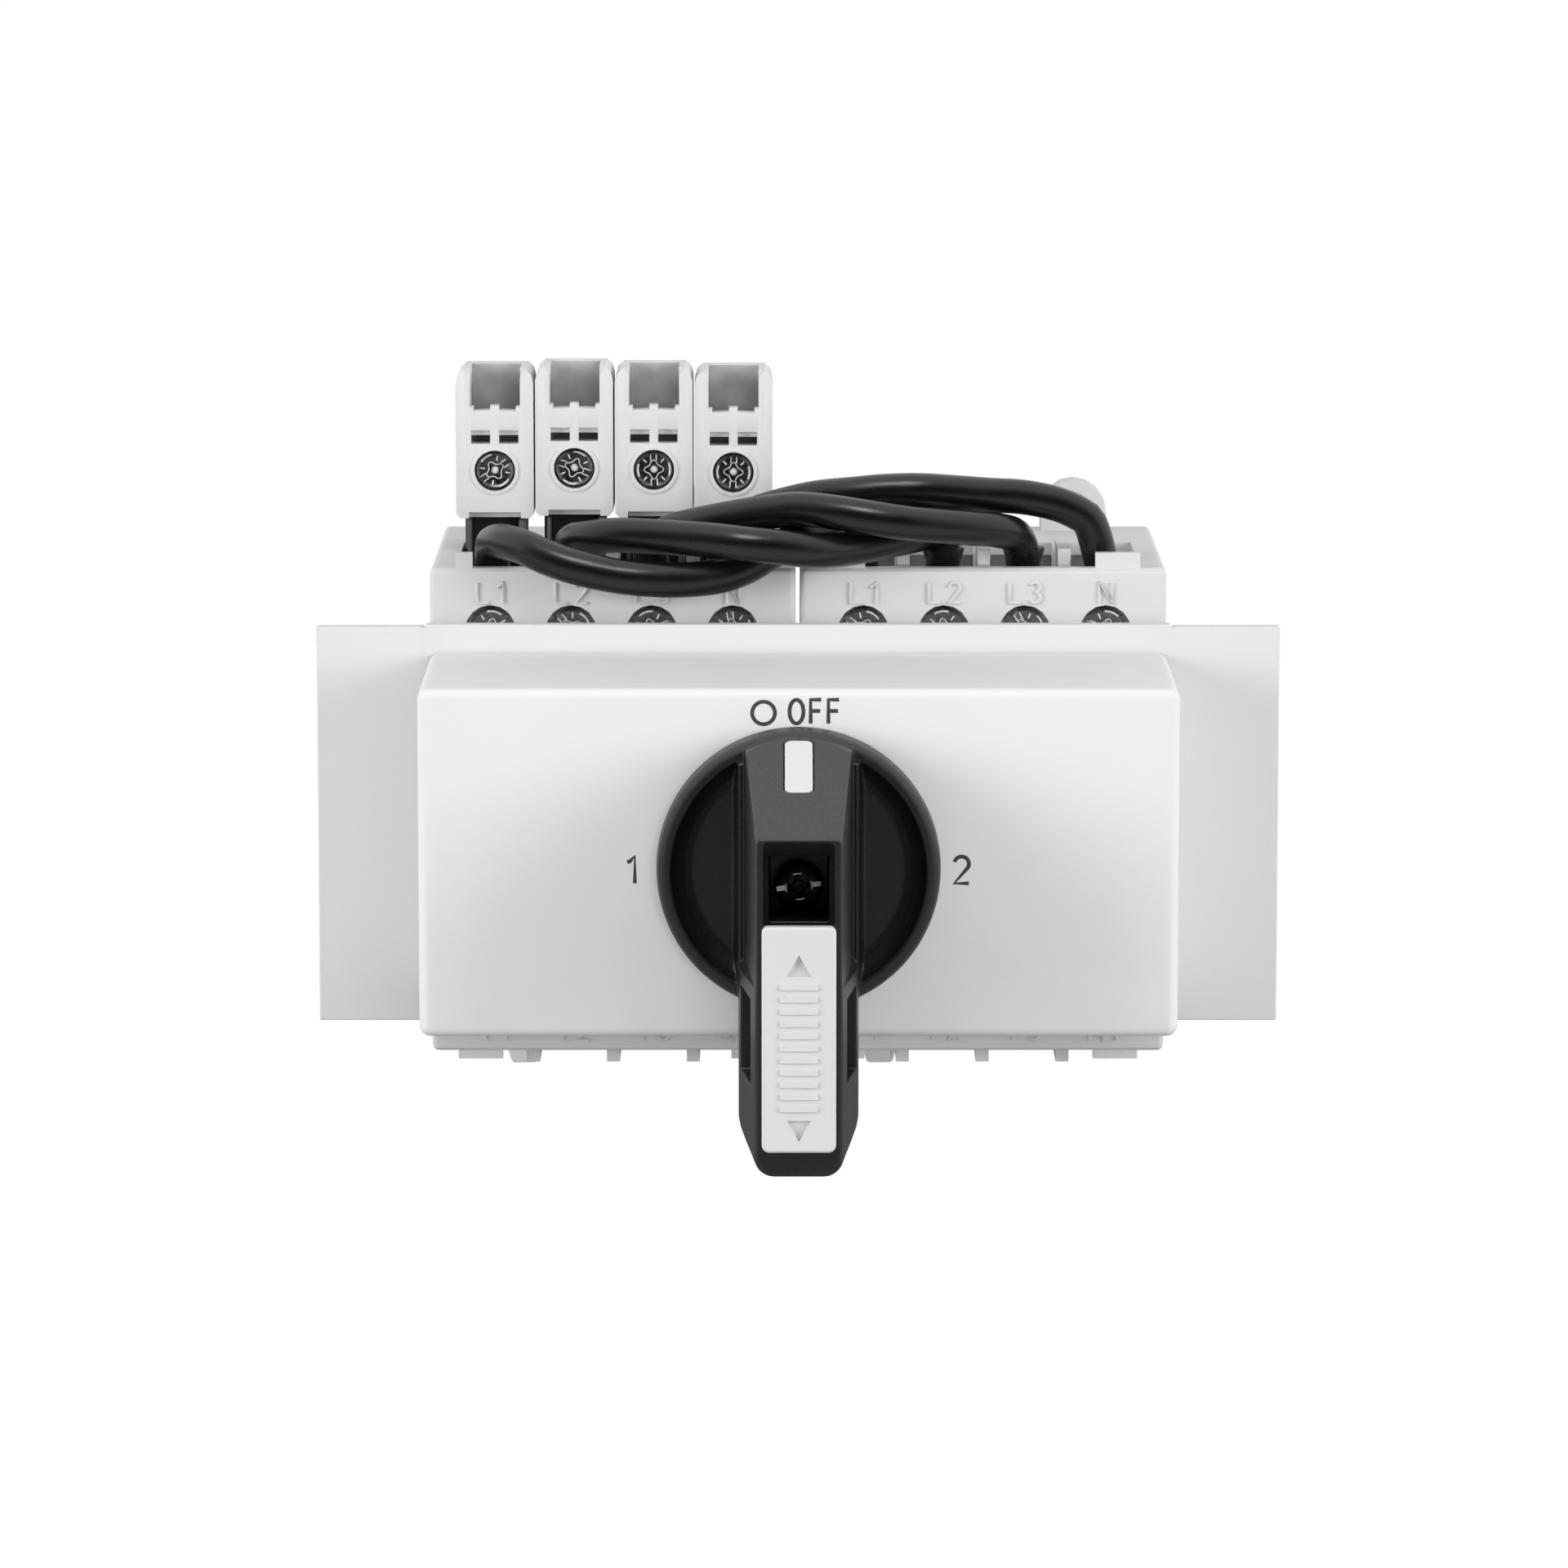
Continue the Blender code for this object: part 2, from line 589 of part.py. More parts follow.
def mechanism_frame():
    """The collar plate on a tray with bearings for the three shafts, screwed to both modules."""
    back = MODULE_FRONT - 0.4
    half = PLATE_HALF_WIDTH
    plate = soft_block((-half, half), (PLATE_FRONT, PLATE_BACK), (-COLLAR_HALF_HEIGHT, PLATE_TOP), 0.2, 0.15)
    body = block((-half, half), (PLATE_BACK - 1.0, back), (-TRAY_HALF_HEIGHT, TRAY_HALF_HEIGHT))
    tray = join(plate, body)
    inside = back + OVER
    cut(tray, block((-39.6, 39.6), (PLATE_FRONT + 2.5, inside), (-TRAY_INSIDE, TRAY_INSIDE)))
    shaft_places = (-MODULE_X, 0.0, MODULE_X)
    screw_places = [side * MODULE_X + offset for side in (-1, 1) for offset in (-12.0, 12.0)]
    for place in shaft_places:
        join(tray, rod(5.0, (PLATE_FRONT + 2.0, back), (place, 0.0)))
        cut(tray, rod(SHAFT_HOLE, (PLATE_FRONT - OVER, inside), (place, 0.0)))
    for place in screw_places:
        join(tray, rod(3.0, (PLATE_FRONT + 2.0, back), (place, 0.0), SMALL_SIDES))
        cut(tray, rod(1.5, (PLATE_FRONT - OVER, inside), (place, 0.0), SMALL_SIDES))
    for side in (-1, 1):
        for level in (-1, 1):
            cut(tray, block((side * 39.0, side * 42.5), (-41.3, -38.7), (level * 7.6, level * 14.4)))
    return tidy(tray)


def mechanism_cover():
    """The box over the gears, open at its back, with the hole that the handle's shaft comes through."""
    half = COVER_HALF_WIDTH
    wall = 1.8
    back = PLATE_FRONT - GAP
    box = soft_block((-half, half), (COVER_FRONT, back), (COVER_BOTTOM, COVER_TOP), 1.2, 1.2)
    cut(
        box,
        block(
            (-half + wall, half - wall),
            (COVER_FRONT + wall, back + OVER),
            (COVER_BOTTOM + wall, COVER_TOP - wall),
        ),
        rod(4.6, (COVER_FRONT - OVER, COVER_FRONT + wall + OVER)),
    )
    return tidy(box)


def wing(side):
    """A blanking wing that fills the panel's cut-out beside the plate, with two hooks to hold it."""
    low, high = PLATE_HALF_WIDTH + GAP, WING_OUTER
    half = COLLAR_HALF_HEIGHT
    back = MODULE_FRONT - 0.4
    plate = soft_block((side * low, side * high), (PLATE_FRONT, PLATE_BACK), (-half, half), 0.2, 0.15)
    body_high = high - 1.5
    body = block(
        (side * low, side * body_high),
        (PLATE_BACK - 1.0, back),
        (-TRAY_HALF_HEIGHT, TRAY_HALF_HEIGHT),
    )
    hollow = block(
        (side * (low + 1.8), side * (body_high - 1.8)),
        (PLATE_BACK, back + OVER),
        (-TRAY_INSIDE, TRAY_INSIDE),
    )
    shell = cut(join(plate, body), hollow)
    for level in (-1, 1):
        arm = block((side * 38.6, side * (low + 1.0)), (-41.0, -39.0), (level * 8.0, level * 14.0))
        barb = block((side * 38.6, side * 39.3), (-41.0, -38.0), (level * 8.0, level * 14.0))
        join(shell, join(arm, barb))
    return tidy(shell)


def make_mechanism(assembly):
    assembly.add("mechanism_frame", mechanism_frame(), "light_grey_plastic")
    assembly.add("mechanism_cover", mechanism_cover(), "light_grey_plastic")
    assembly.add("left_wing", wing(-1), "light_grey_plastic")
    assembly.add("right_wing", wing(1), "light_grey_plastic")


# ---------------------------------------------------------------------------------------------
# Handle
# ---------------------------------------------------------------------------------------------


def ramp_height(depth):
    """The height of the handle's top side, which runs down from the rim to the grip's front."""
    rise = (depth - KNOB_RIM) / (GRIP_FRONT - KNOB_RIM)
    return RAMP_TOP + rise * (RAMP_BOTTOM - RAMP_TOP)


def grip_section(depth, half_width, bottom):
    top = ramp_height(min(depth, KNOB_RIM))
    return [(x, depth, z) for x, z in rectangle((-half_width, half_width), (bottom, top))]


def grip_blank():
    """The lever: a body whose sides lean in and whose lower end runs out towards the front."""
    rings = [
        grip_section(KNOB_BACK, GRIP_HALF_WIDTH, -26.8),
        grip_section(KNOB_RIM, GRIP_HALF_WIDTH, -27.4),
        grip_section(-85.0, 6.3, -28.0),
        grip_section(GRIP_FRONT + 0.6, GRIP_FRONT_HALF_WIDTH + 0.1, -29.9),
        grip_section(GRIP_FRONT, GRIP_FRONT_HALF_WIDTH - 0.4, -29.5),
    ]
    depths = (GRIP_FRONT - OVER, KNOB_BACK + OVER)
    lower_end = block((-8.0, 8.0), depths, (-32.0, 0.0))
    edge = rod(RAMP_EDGE_RADIUS, depths, (0.0, RAMP_EDGE - RAMP_EDGE_RADIUS), 72)
    return keep_inside(loft(rings), join(edge, lower_end))


def cheek(side):
    """The hollow beside the grip, inside the rim."""
    floor, rim = [], []
    for points, radius, inner in ((floor, 12.4, 7.3), (rim, 13.6, 6.9)):
        reach = math.acos(inner / radius)
        for step in range(13):
            angle = reach * (2 * step / 12 - 1)
            points.append((side * radius * math.cos(angle), radius * math.sin(angle)))
    return loft(
        [[(x, CHEEK_FLOOR, z) for x, z in floor], [(x, KNOB_RIM - OVER, z) for x, z in rim]]
    )


def handle_knob():
    outline = [(KNOB_BACK, KNOB_RADIUS - 0.2), (-76.8, KNOB_RADIUS), (-79.6, 15.3), (-80.4, 14.7)]
    disc = turned([*outline, (KNOB_RIM, 14.1)], sides=36)
    knob = join(disc, grip_blank())
    cut(knob, cheek(-1), cheek(1))
    half = WINDOW_HALF_WIDTH
    mark_length = 10.5
    cut(
        knob,
        block((-half, half), (GRIP_FRONT - OVER, -97.9), (-25.5, WINDOW_TOP)),
        block((-4.0, 4.0), (-98.2, -96.5), (-25.5, WINDOW_TOP)),
        block((-half, half), (-97.0, -88.3), (SLIDER_TOP - 0.2, WINDOW_TOP)),
        block((-8.0, 8.0), (-95.0, -85.0), (-20.5, -11.8)),
        rod(4.3, (KNOB_BACK + OVER, -86.0)),
        rod(1.9, (-86.0 + OVER, -88.3 - OVER), sides=SMALL_SIDES),
        indicator(1.8, mark_length + 0.6, 1.1, 0.5),
    )
    return tidy(knob)


def indicator(half_width, length, depth, proud):
    """A plate let into the ramp from its top end down."""
    down = Vector((0.0, GRIP_FRONT - KNOB_RIM, ramp_height(GRIP_FRONT) - ramp_height(KNOB_RIM))).normalized()
    out = Vector((0.0, down.z, -down.y))
    centre = Vector((0.0, KNOB_RIM, ramp_height(KNOB_RIM))) + down * 6.0
    rings = []
    for away in (-depth, proud):
        ring = []
        for x, along in rectangle((-half_width, half_width), (-length / 2, length / 2)):
            ring.append(tuple(centre + down * along + out * away + Vector((x, 0.0, 0.0))))
        rings.append(ring)
    return loft(rings)


def handle_screw():
    screw = turned([(-90.0, 2.3), (-89.7, 2.7), (-88.6, 2.7), (-88.6, 1.5), (-80.4, 1.5)], sides=SMALL_SIDES)
    slot_half = 0.4
    return tidy(cut(screw, block((-3.0, 3.0), (-91.0, -89.3), (-slot_half, slot_half))))


def drive_shaft():
    shaft = turned([(-85.7, 3.7), (-85.4, 4.0), (-50.4, 4.0), (-50.0, 3.0), (-37.2, 3.0)])
    return tidy(cut(shaft, rod(1.8, (-86.2, -79.9), sides=SMALL_SIDES)))


def lock_slider():
    """The slide on the grip's front, which is pushed up over the screw before a padlock goes in."""
    outline = rounded_rectangle((-3.97, 3.97), (SLIDER_BOTTOM, SLIDER_TOP), 0.7)
    inner = rounded_rectangle((-3.77, 3.77), (SLIDER_BOTTOM + 0.2, SLIDER_TOP - 0.2), 0.5)
    plate = loft(
        [
            [(x, -101.5, z) for x, z in inner],
            [(x, -101.3, z) for x, z in outline],
            [(x, GRIP_FRONT - GAP, z) for x, z in outline],
        ]
    )
    ribs = []
    for rib in range(11):
        height = -9.0 - 1.32 * rib
        ribs.append(block((-2.05, 2.05), (-101.75, -101.3), (height - 0.36, height + 0.36)))
    stem = block((-2.9, 2.9), (-101.0, -97.2), (-24.9, -6.0))
    flange = block((-3.7, 3.7), (-97.9, -96.9), (-24.9, -6.0))
    return tidy(join(plate, *ribs, stem, flange))


def make_handle(assembly):
    axis = assembly.empty("handle_axis", assembly.root, (0.0, 0.0, 0.0))
    assembly.add("handle_knob", handle_knob(), "black_plastic", axis)
    assembly.add("indicator_insert", indicator(1.5, 10.5, 0.8, 0.05), "white_plastic", axis)
    assembly.add("handle_screw", handle_screw(), "zinc_steel", axis)
    assembly.add("drive_shaft", drive_shaft(), "zinc_steel", axis)
    assembly.add("drive_gear", spur_gear(4.3), "ivory_plastic", axis)
    assembly.add("lock_slider", lock_slider(), "white_plastic", axis)


# ---------------------------------------------------------------------------------------------
# Extension terminals and jumper wires
# ---------------------------------------------------------------------------------------------


def extension_housing():
    """A terminal block with a wire entry in its top, open at the front above a U-shaped edge."""
    half = EXTENSION_HALF_WIDTH
    bottom, top = EXTENSION_BOTTOM, EXTENSION_TOP
    front, back = EXTENSION_FRONT, EXTENSION_BACK
    shell = soft_block((-half, half), (front, back), (bottom, top), 0.5, 0.4)
    join(shell, turned([(front - 0.2, 2.75), (front + OVER, 2.95)], (0.0, EXTENSION_SCREW_Z)))
    inner_front = front + 2.5
    cut(
        shell,
        block((-2.9, 2.9), (inner_front, -10.4), (34.0, top + OVER)),
        block((-2.9, 2.9), (front - OVER, inner_front + OVER), (44.2, top + OVER)),
        block((0.55, 2.75), (front - OVER, inner_front + OVER), (40.3, 41.9)),
        block((-2.75, -0.55), (front - OVER, inner_front + OVER), (40.3, 41.9)),
        rod(2.36, (front - 1.0, inner_front + OVER), (0.0, EXTENSION_SCREW_Z)),
        block((-2.8, 2.8), (-12.3, -10.4), (bottom - OVER, 34.5)),
        block((-3.0, 3.0), (front - OVER, front + 1.0), (bottom - OVER, bottom + 0.5)),
    )
    return tidy(shell)


def extension_plug():
    """The channel that plugs into the module's entry, with the bar that carries the current up."""
    body = block((-3.6, 3.6), (-19.3, -10.8), (22.6, 31.5))
    cut(body, block((-2.8, 2.8), (-20.0, -12.0), (21.0, 33.0)))
    return tidy(join(body, block((-2.5, 2.5), (-12.0, -10.8), (30.5, 43.0))))


def extension_screw():
    """The clamping screw with its pressure plate."""
    place = (0.0, EXTENSION_SCREW_Z)
    screw = turned([(-19.4, 1.9), (-19.2, 2.05), (-18.2, 2.05), (-18.2, 1.3), (-16.9, 1.3)], place, SMALL_SIDES)
    plate = block((-2.4, 2.4), (-17.1, -16.5), (35.0, 39.6))
    slot_half = 0.35
    z = EXTENSION_SCREW_Z
    join(screw, plate)
    return tidy(cut(screw, block((-2.4, 2.4), (-20.0, -18.8), (z - slot_half, z + slot_half))))


def make_extensions(assembly):
    for number, (pole, rise) in enumerate(zip(POLES, EXTENSION_STAGGER), start=1):
        place = (pole - MODULE_X, 0.0, rise)
        assembly.add(f"extension_housing_{number}", extension_housing(), "light_grey_plastic", None, place)
        assembly.add(f"extension_plug_{number}", extension_plug(), "dark_grey_plastic", None, place)
        assembly.add(f"extension_screw_{number}", extension_screw(), "zinc_steel", None, place)


def jumper_wire(points):
    curve = bpy.data.curves.new("wire", "CURVE")
    curve.dimensions = "3D"
    curve.bevel_depth = WIRE_DIAMETER / 2 * MM
    curve.bevel_resolution = 2
    curve.use_fill_caps = True
    spline = curve.splines.new("POLY")
    spline.points.add(len(points) - 1)
    for knot, point in zip(spline.points, points):
        knot.co = (*(point * MM), 1.0)
    made = bpy.data.objects.new("piece", curve)
    bpy.context.scene.collection.objects.link(made)
    return made


def make_wires(assembly):
    for name, points in WIRE_ROUTES.items():
        wire = jumper_wire(smooth_route(points, WIRE_STEP))
        assembly.add("jumper_wire_" + name, wire, "black_insulation", smooth=False)


def main():
    clear_scene()
    assembly = Assembly()
    make_module(assembly, "left", -1)
    make_module(assembly, "right", 1)
    make_mechanism(assembly)
    make_handle(assembly)
    make_extensions(assembly)
    make_wires(assembly)


main()
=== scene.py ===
"""The looks of the manual transfer switch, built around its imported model.

Sizes and places are in millimetres, in the model's own frame: +X right, -Y front, +Z up. Each
helper turns them into metres.
"""

import math

import bmesh
import bpy
from mathutils import Matrix, Vector


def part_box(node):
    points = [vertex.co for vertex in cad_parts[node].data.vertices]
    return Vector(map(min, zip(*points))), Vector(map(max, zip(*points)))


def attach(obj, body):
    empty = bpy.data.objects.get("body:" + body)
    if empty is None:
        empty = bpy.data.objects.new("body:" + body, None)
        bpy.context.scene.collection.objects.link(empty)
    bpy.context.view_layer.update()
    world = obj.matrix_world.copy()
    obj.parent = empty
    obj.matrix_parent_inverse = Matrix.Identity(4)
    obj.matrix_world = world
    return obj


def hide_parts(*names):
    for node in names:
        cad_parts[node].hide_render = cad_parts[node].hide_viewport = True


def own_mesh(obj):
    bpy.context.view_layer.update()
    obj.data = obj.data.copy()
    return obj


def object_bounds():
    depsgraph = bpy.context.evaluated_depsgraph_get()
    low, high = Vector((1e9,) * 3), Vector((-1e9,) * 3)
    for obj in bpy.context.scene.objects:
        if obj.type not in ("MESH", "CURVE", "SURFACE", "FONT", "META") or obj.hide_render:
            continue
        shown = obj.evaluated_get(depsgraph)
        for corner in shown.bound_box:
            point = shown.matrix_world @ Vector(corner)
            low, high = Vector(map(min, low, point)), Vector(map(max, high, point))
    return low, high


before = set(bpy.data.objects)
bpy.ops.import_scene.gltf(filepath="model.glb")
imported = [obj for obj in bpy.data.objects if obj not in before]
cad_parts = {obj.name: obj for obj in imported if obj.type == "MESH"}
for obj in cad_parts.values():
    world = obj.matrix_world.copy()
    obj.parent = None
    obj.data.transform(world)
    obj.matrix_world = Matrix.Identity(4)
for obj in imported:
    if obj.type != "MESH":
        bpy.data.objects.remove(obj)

MM = 0.001
CAD_BOUNDS = [list(corner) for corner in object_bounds()]

# Studio: each light's name, place, size, power and whether it shows only as a sheen
FLOOR_HALF_SIZE = 12000.0
FLOOR_DROP = 130.0
LIGHTS = (
    ("key_left", (-940.0, -560.0, 230.0), 520.0, 8.8, False),
    ("key_right", (940.0, -560.0, 230.0), 520.0, 8.2, False),
    ("front", (150.0, -1000.0, 160.0), 300.0, 1.7, False),
    ("highlight", (-60.0, -560.0, 800.0), 200.0, 2.2, True),
)

# Camera: a long lens, a little above the object
CAMERA_TARGET = (-1.59, -46.0, 4.6)
CAMERA_DISTANCE = 900.0
CAMERA_ELEVATION = math.radians(8.5)
LENS = 182.8
SENSOR_WIDTH = 36.0

# Places that the pieces share
POLE_PITCH = 9.2
POLE_OFFSETS = [-1.5 * POLE_PITCH, -0.5 * POLE_PITCH, 0.5 * POLE_PITCH, 1.5 * POLE_PITCH]
MODULE_X = 21.25
MODULE_FRONT = -36.0
PLATE_FRONT = -46.0
PLATE_HALF_WIDTH = 42.0
COVER_FRONT = -76.0
COVER_WALL = 1.8
COVER_BORE = 4.6
TOP_NAMES = ("L1", "L2", "L3", "N")
BOTTOM_NAMES = ("T1", "T2", "T3", "N1")
SIDES = {"left": -1, "right": 1}

# Terminal screws in the modules
TERMINAL_SCREW_Z = 20.8
TERMINAL_SCREW_FRONT = -35.3
TERMINAL_SCREW_RADIUS = 2.42
TERMINAL_SCREW_TURNS = (12.0, 50.0, -20.0, 80.0, 33.0, -8.0, 64.0, 21.0)

# Characters: each print's name, text, place (x, z) and height, and each row's names and place
PRINTS = (
    ("print_off", "OFF", (1.71, 15.75), 2.62),
    ("print_1", "1", (-18.3, -1.91), 2.97),
    ("print_2", "2", (17.84, -1.91), 2.97),
)
PRINT_STROKE = 0.46
PRINT_THINNING = 0.06
PRINT_RING_PLACE = (-3.82, 16.92)
PRINT_RING_RADII = (1.03, 1.45)
LETTER_ROWS = ((TOP_NAMES, 23.95), (BOTTOM_NAMES, -26.6))
LETTER_HEIGHT = 2.35
LETTER_STROKE = 0.42
LETTER_GAP = 0.42
LETTER_RELIEF = 0.06

# Handle
KNOB_RADIUS = 15.55
KNOB_BACK = -76.4
KNOB_RIM = -80.6
CHEEK_FLOOR = -78.4
GRIP_FRONT = -100.0
RAMP_TOP = 14.9
RAMP_BOTTOM = 6.6
RAMP_EDGE_RADIUS = 13.6
INSERT_HALF_WIDTH = 1.5
INSERT_LENGTH = 10.5
INSERT_MIDDLE = 6.0             # how far down the ramp
INSERT_PROUD = 0.06
WINDOW_HALF_WIDTH = 3.24
WINDOW_TOP = 4.6
WINDOW_FLOOR = -88.3
TRACK_HALF_WIDTH = 4.0
TRACK_LIP = -97.9
TRACK_FLOOR = -96.5
TRACK_BOTTOM = -25.5
PADLOCK_HOLE_Y = (-95.0, -85.0)
PADLOCK_HOLE_Z = (-20.9, -11.6)
SHAFT_SOCKET_RADIUS = 4.3
SHAFT_SOCKET_FLOOR = -86.0
SCREW_HOLE_RADIUS = 1.9
HANDLE_SCREW_RADIUS = 2.62
HANDLE_SCREW_FRONT = -90.0
HANDLE_SCREW_TURN = -7.0

# Padlock slider
SLIDER_FRONT = -101.5
SLIDER_HALF_WIDTH = 3.97
SLIDER_TOP = -2.5
SLIDER_BOTTOM = -27.1
SLIDER_ARROWS = ((-6.7, 1), (-24.6, -1))    # each one's middle, and 1 for up
ARROW_HALF_WIDTH = 1.3
ARROW_HALF_HEIGHT = 1.15
RIBS = 11
RIB_TOP = -9.0
RIB_PITCH = 1.32
RIB_HALF_WIDTH = 2.07
RIB_HALF_HEIGHT = 0.4
RIB_SLOPE = 0.12

# Extension terminals
EXTENSION_HALF_WIDTH = 4.5
EXTENSION_FRONT = -20.0
EXTENSION_BACK = -8.6
EXTENSION_BOTTOM = 31.8
EXTENSION_TOP = 49.0
EXTENSION_STAGGER = [0.0, 0.3, 0.1, -0.2]
EXTENSION_WALL = 2.5
EXTENSION_SHOULDER = 44.7
EXTENSION_SCREW_Z = 37.3
EXTENSION_SCREW_FRONT = -19.3
EXTENSION_SCREW_RADIUS = 2.12
EXTENSION_SCREW_TURNS = (-35.0, 20.0, 88.0, 92.0)

# The spring under each rail clip's ear
CLIP_OFFSET = -11.4
CLIP_SPRING_Y = -1.2
CLIP_SPRING_TOP = -20.3
CLIP_SPRING_BOTTOM = -26.2
CLIP_SPRING_RADIUS = 1.25
CLIP_SPRING_WIRE = 0.25
CLIP_SPRING_TURNS = 4

# Jumper wires: each route's points run from the left module's pole to the right module's
WIRE_DIAMETER = 4.0
WIRE_ENTRY_Y = -30.0
ROUTE_STEP = 0.8
FERRULES = {"ferrule_L2": 16.65, "ferrule_L3": 25.85}
WIRE_ROUTES = {
    "L1": [
        (-35.0, -30.0, 20.5), (-35.0, -30.0, 26.0), (-35.0, -30.8, 29.5), (-34.6, -33.2, 30.6),
        (-33.2, -36.6, 31.0), (-30.9, -39.4, 30.7), (-28.6, -40.8, 29.8), (-26.1, -41.6, 29.0),
        (-23.5, -42.0, 28.4), (-20.5, -42.2, 27.8), (-17.6, -42.2, 27.5), (-14.6, -41.8, 27.3),
        (-11.7, -41.0, 27.3), (-8.7, -39.9, 27.6), (-5.8, -38.9, 28.5), (-2.9, -37.6, 30.1),
        (0.3, -35.6, 31.2), (3.3, -33.0, 31.7), (5.9, -31.0, 30.6), (7.4, -30.0, 26.8),
        (7.4, -30.0, 20.5),
    ],
    "L2": [
        (-25.9, -30.0, 20.5), (-25.9, -30.0, 26.0), (-26.0, -30.8, 29.5), (-25.6, -33.0, 30.7),
        (-24.1, -35.6, 31.3), (-21.1, -37.6, 31.9), (-17.3, -39.0, 32.0), (-13.6, -40.2, 31.9),
        (-9.9, -41.4, 31.8), (-6.2, -42.4, 31.5), (-2.1, -42.2, 31.1), (2.1, -40.6, 30.5),
        (6.0, -38.0, 30.5), (9.6, -36.4, 31.0), (12.6, -34.8, 31.4), (15.1, -32.4, 31.6),
        (16.5, -30.8, 30.2), (16.6, -30.0, 26.0), (16.6, -30.0, 20.5),
    ],
    "L3": [
        (-16.6, -30.0, 20.5), (-16.6, -30.0, 26.0), (-16.9, -30.0, 29.1), (-16.5, -30.8, 30.5),
        (-14.2, -32.6, 31.8), (-11.1, -34.2, 32.8), (-7.5, -35.2, 33.6), (-3.6, -36.4, 34.4),
        (0.3, -37.8, 34.9), (4.1, -39.2, 34.7), (8.0, -40.0, 34.2), (11.9, -39.9, 33.6),
        (15.8, -38.6, 33.1), (19.8, -36.8, 32.6), (23.0, -34.8, 32.1), (25.2, -32.0, 30.7),
        (25.9, -30.0, 26.0), (25.9, -30.0, 20.5),
    ],
    "N": [
        (-7.5, -30.0, 20.5), (-7.5, -30.0, 26.0), (-7.6, -30.0, 29.1), (-7.9, -29.4, 30.7),
        (-7.0, -29.4, 32.2), (-4.6, -30.2, 33.6), (-1.4, -31.2, 34.7), (2.2, -32.2, 35.6),
        (6.1, -33.2, 36.1), (10.0, -33.6, 36.5), (14.0, -33.8, 36.6), (17.9, -33.2, 36.3),
        (21.8, -32.2, 35.9), (25.7, -31.6, 35.6), (29.2, -31.4, 34.9), (31.8, -31.0, 33.8),
        (33.6, -30.6, 32.1), (35.0, -30.0, 26.0), (35.0, -30.0, 20.5),
    ],
}


# ---------------------------------------------------------------------------------------------
# Materials
# ---------------------------------------------------------------------------------------------


class Material:
    """A Principled material with helpers for the nodes that vary its surface."""

    def __init__(self, name, roughness, metallic=0.0, specular=0.5):
        self.material = bpy.data.materials.new(name)
        self.material.use_nodes = True
        self.tree = self.material.node_tree
        self.shader = self.tree.nodes["Principled BSDF"]
        self.shader.inputs["Roughness"].default_value = roughness
        self.shader.inputs["Metallic"].default_value = metallic
        self.shader.inputs["Specular IOR Level"].default_value = specular
        self.place = self.tree.nodes.new("ShaderNodeTexCoord").outputs["Object"]

    def noise(self, size_mm, detail=2.0, stretch=(1.0, 1.0, 1.0)):
        """Noise whose blobs are about size_mm across, stretched along the object's axes."""
        mapping = self.tree.nodes.new("ShaderNodeMapping")
        mapping.inputs["Scale"].default_value = [1.0 / (size_mm * MM * part) for part in stretch]
        texture = self.tree.nodes.new("ShaderNodeTexNoise")
        texture.inputs["Scale"].default_value = 1.0
        texture.inputs["Detail"].default_value = detail
        self.tree.links.new(self.place, mapping.inputs["Vector"])
        self.tree.links.new(mapping.outputs["Vector"], texture.inputs["Vector"])
        return texture.outputs["Fac"]

    def ramp(self, value, stops):
        """Maps a value to colours, or to greys where a stop is one number."""
        node = self.tree.nodes.new("ShaderNodeValToRGB")
        elements = node.color_ramp.elements
        for index, (place, colour) in enumerate(stops):
            if index >= len(elements):
                elements.new(place)
            elements[index].position = place
            if not isinstance(colour, tuple):
                colour = (colour, colour, colour)
            elements[index].color = (*colour, 1.0)
        self.tree.links.new(value, node.inputs["Fac"])
        return node.outputs["Color"]

    def mottle(self, light, dark, size_mm):
        """A base colour that drifts slowly between two tones."""
        colour = self.ramp(self.noise(size_mm), [(0.35, dark), (0.65, light)])
        self.tree.links.new(colour, self.shader.inputs["Base Color"])

    def gloss(self, low, high, size_mm, stretch=(1.0, 1.0, 1.0)):
        """Roughness that varies between two values."""
        value = self.ramp(self.noise(size_mm, 3.0, stretch), [(0.3, low), (0.7, high)])
        self.tree.links.new(value, self.shader.inputs["Roughness"])

    def bumps(self, *layers):
        """Fine relief: each layer is (blob size in mm, height in mm, stretch)."""
        normal = None
        for size_mm, height_mm, stretch in layers:
            bump = self.tree.nodes.new("ShaderNodeBump")
            bump.inputs["Strength"].default_value = 1.0
            bump.inputs["Distance"].default_value = height_mm * MM
            self.tree.links.new(self.noise(size_mm, 2.0, stretch), bump.inputs["Height"])
            if normal is not None:
                self.tree.links.new(normal, bump.inputs["Normal"])
            normal = bump.outputs["Normal"]
        self.tree.links.new(normal, self.shader.inputs["Normal"])


EVEN = (1.0, 1.0, 1.0)


def light_plastic(name, tone, shade=0.97):
    """Moulded light grey plastic with a fine spark-eroded grain."""
    made = Material(name, 0.42, specular=0.35)
    light = (tone, tone, tone * 0.995)
    made.mottle(light, tuple(part * shade for part in light), 14.0)
    made.gloss(0.42, 0.55, 3.0)
    made.bumps((0.22, 0.008, EVEN), (9.0, 0.02, EVEN))
    return made.material


def black_plastic():
    """Matte black plastic with a visible grain."""
    made = Material("black_grained_plastic", 0.4, specular=0.8)
    made.mottle((0.007, 0.007, 0.007), (0.004, 0.004, 0.004), 0.35)
    made.gloss(0.36, 0.5, 0.3)
    made.bumps((0.16, 0.012, EVEN), (0.6, 0.008, EVEN))
    return made.material


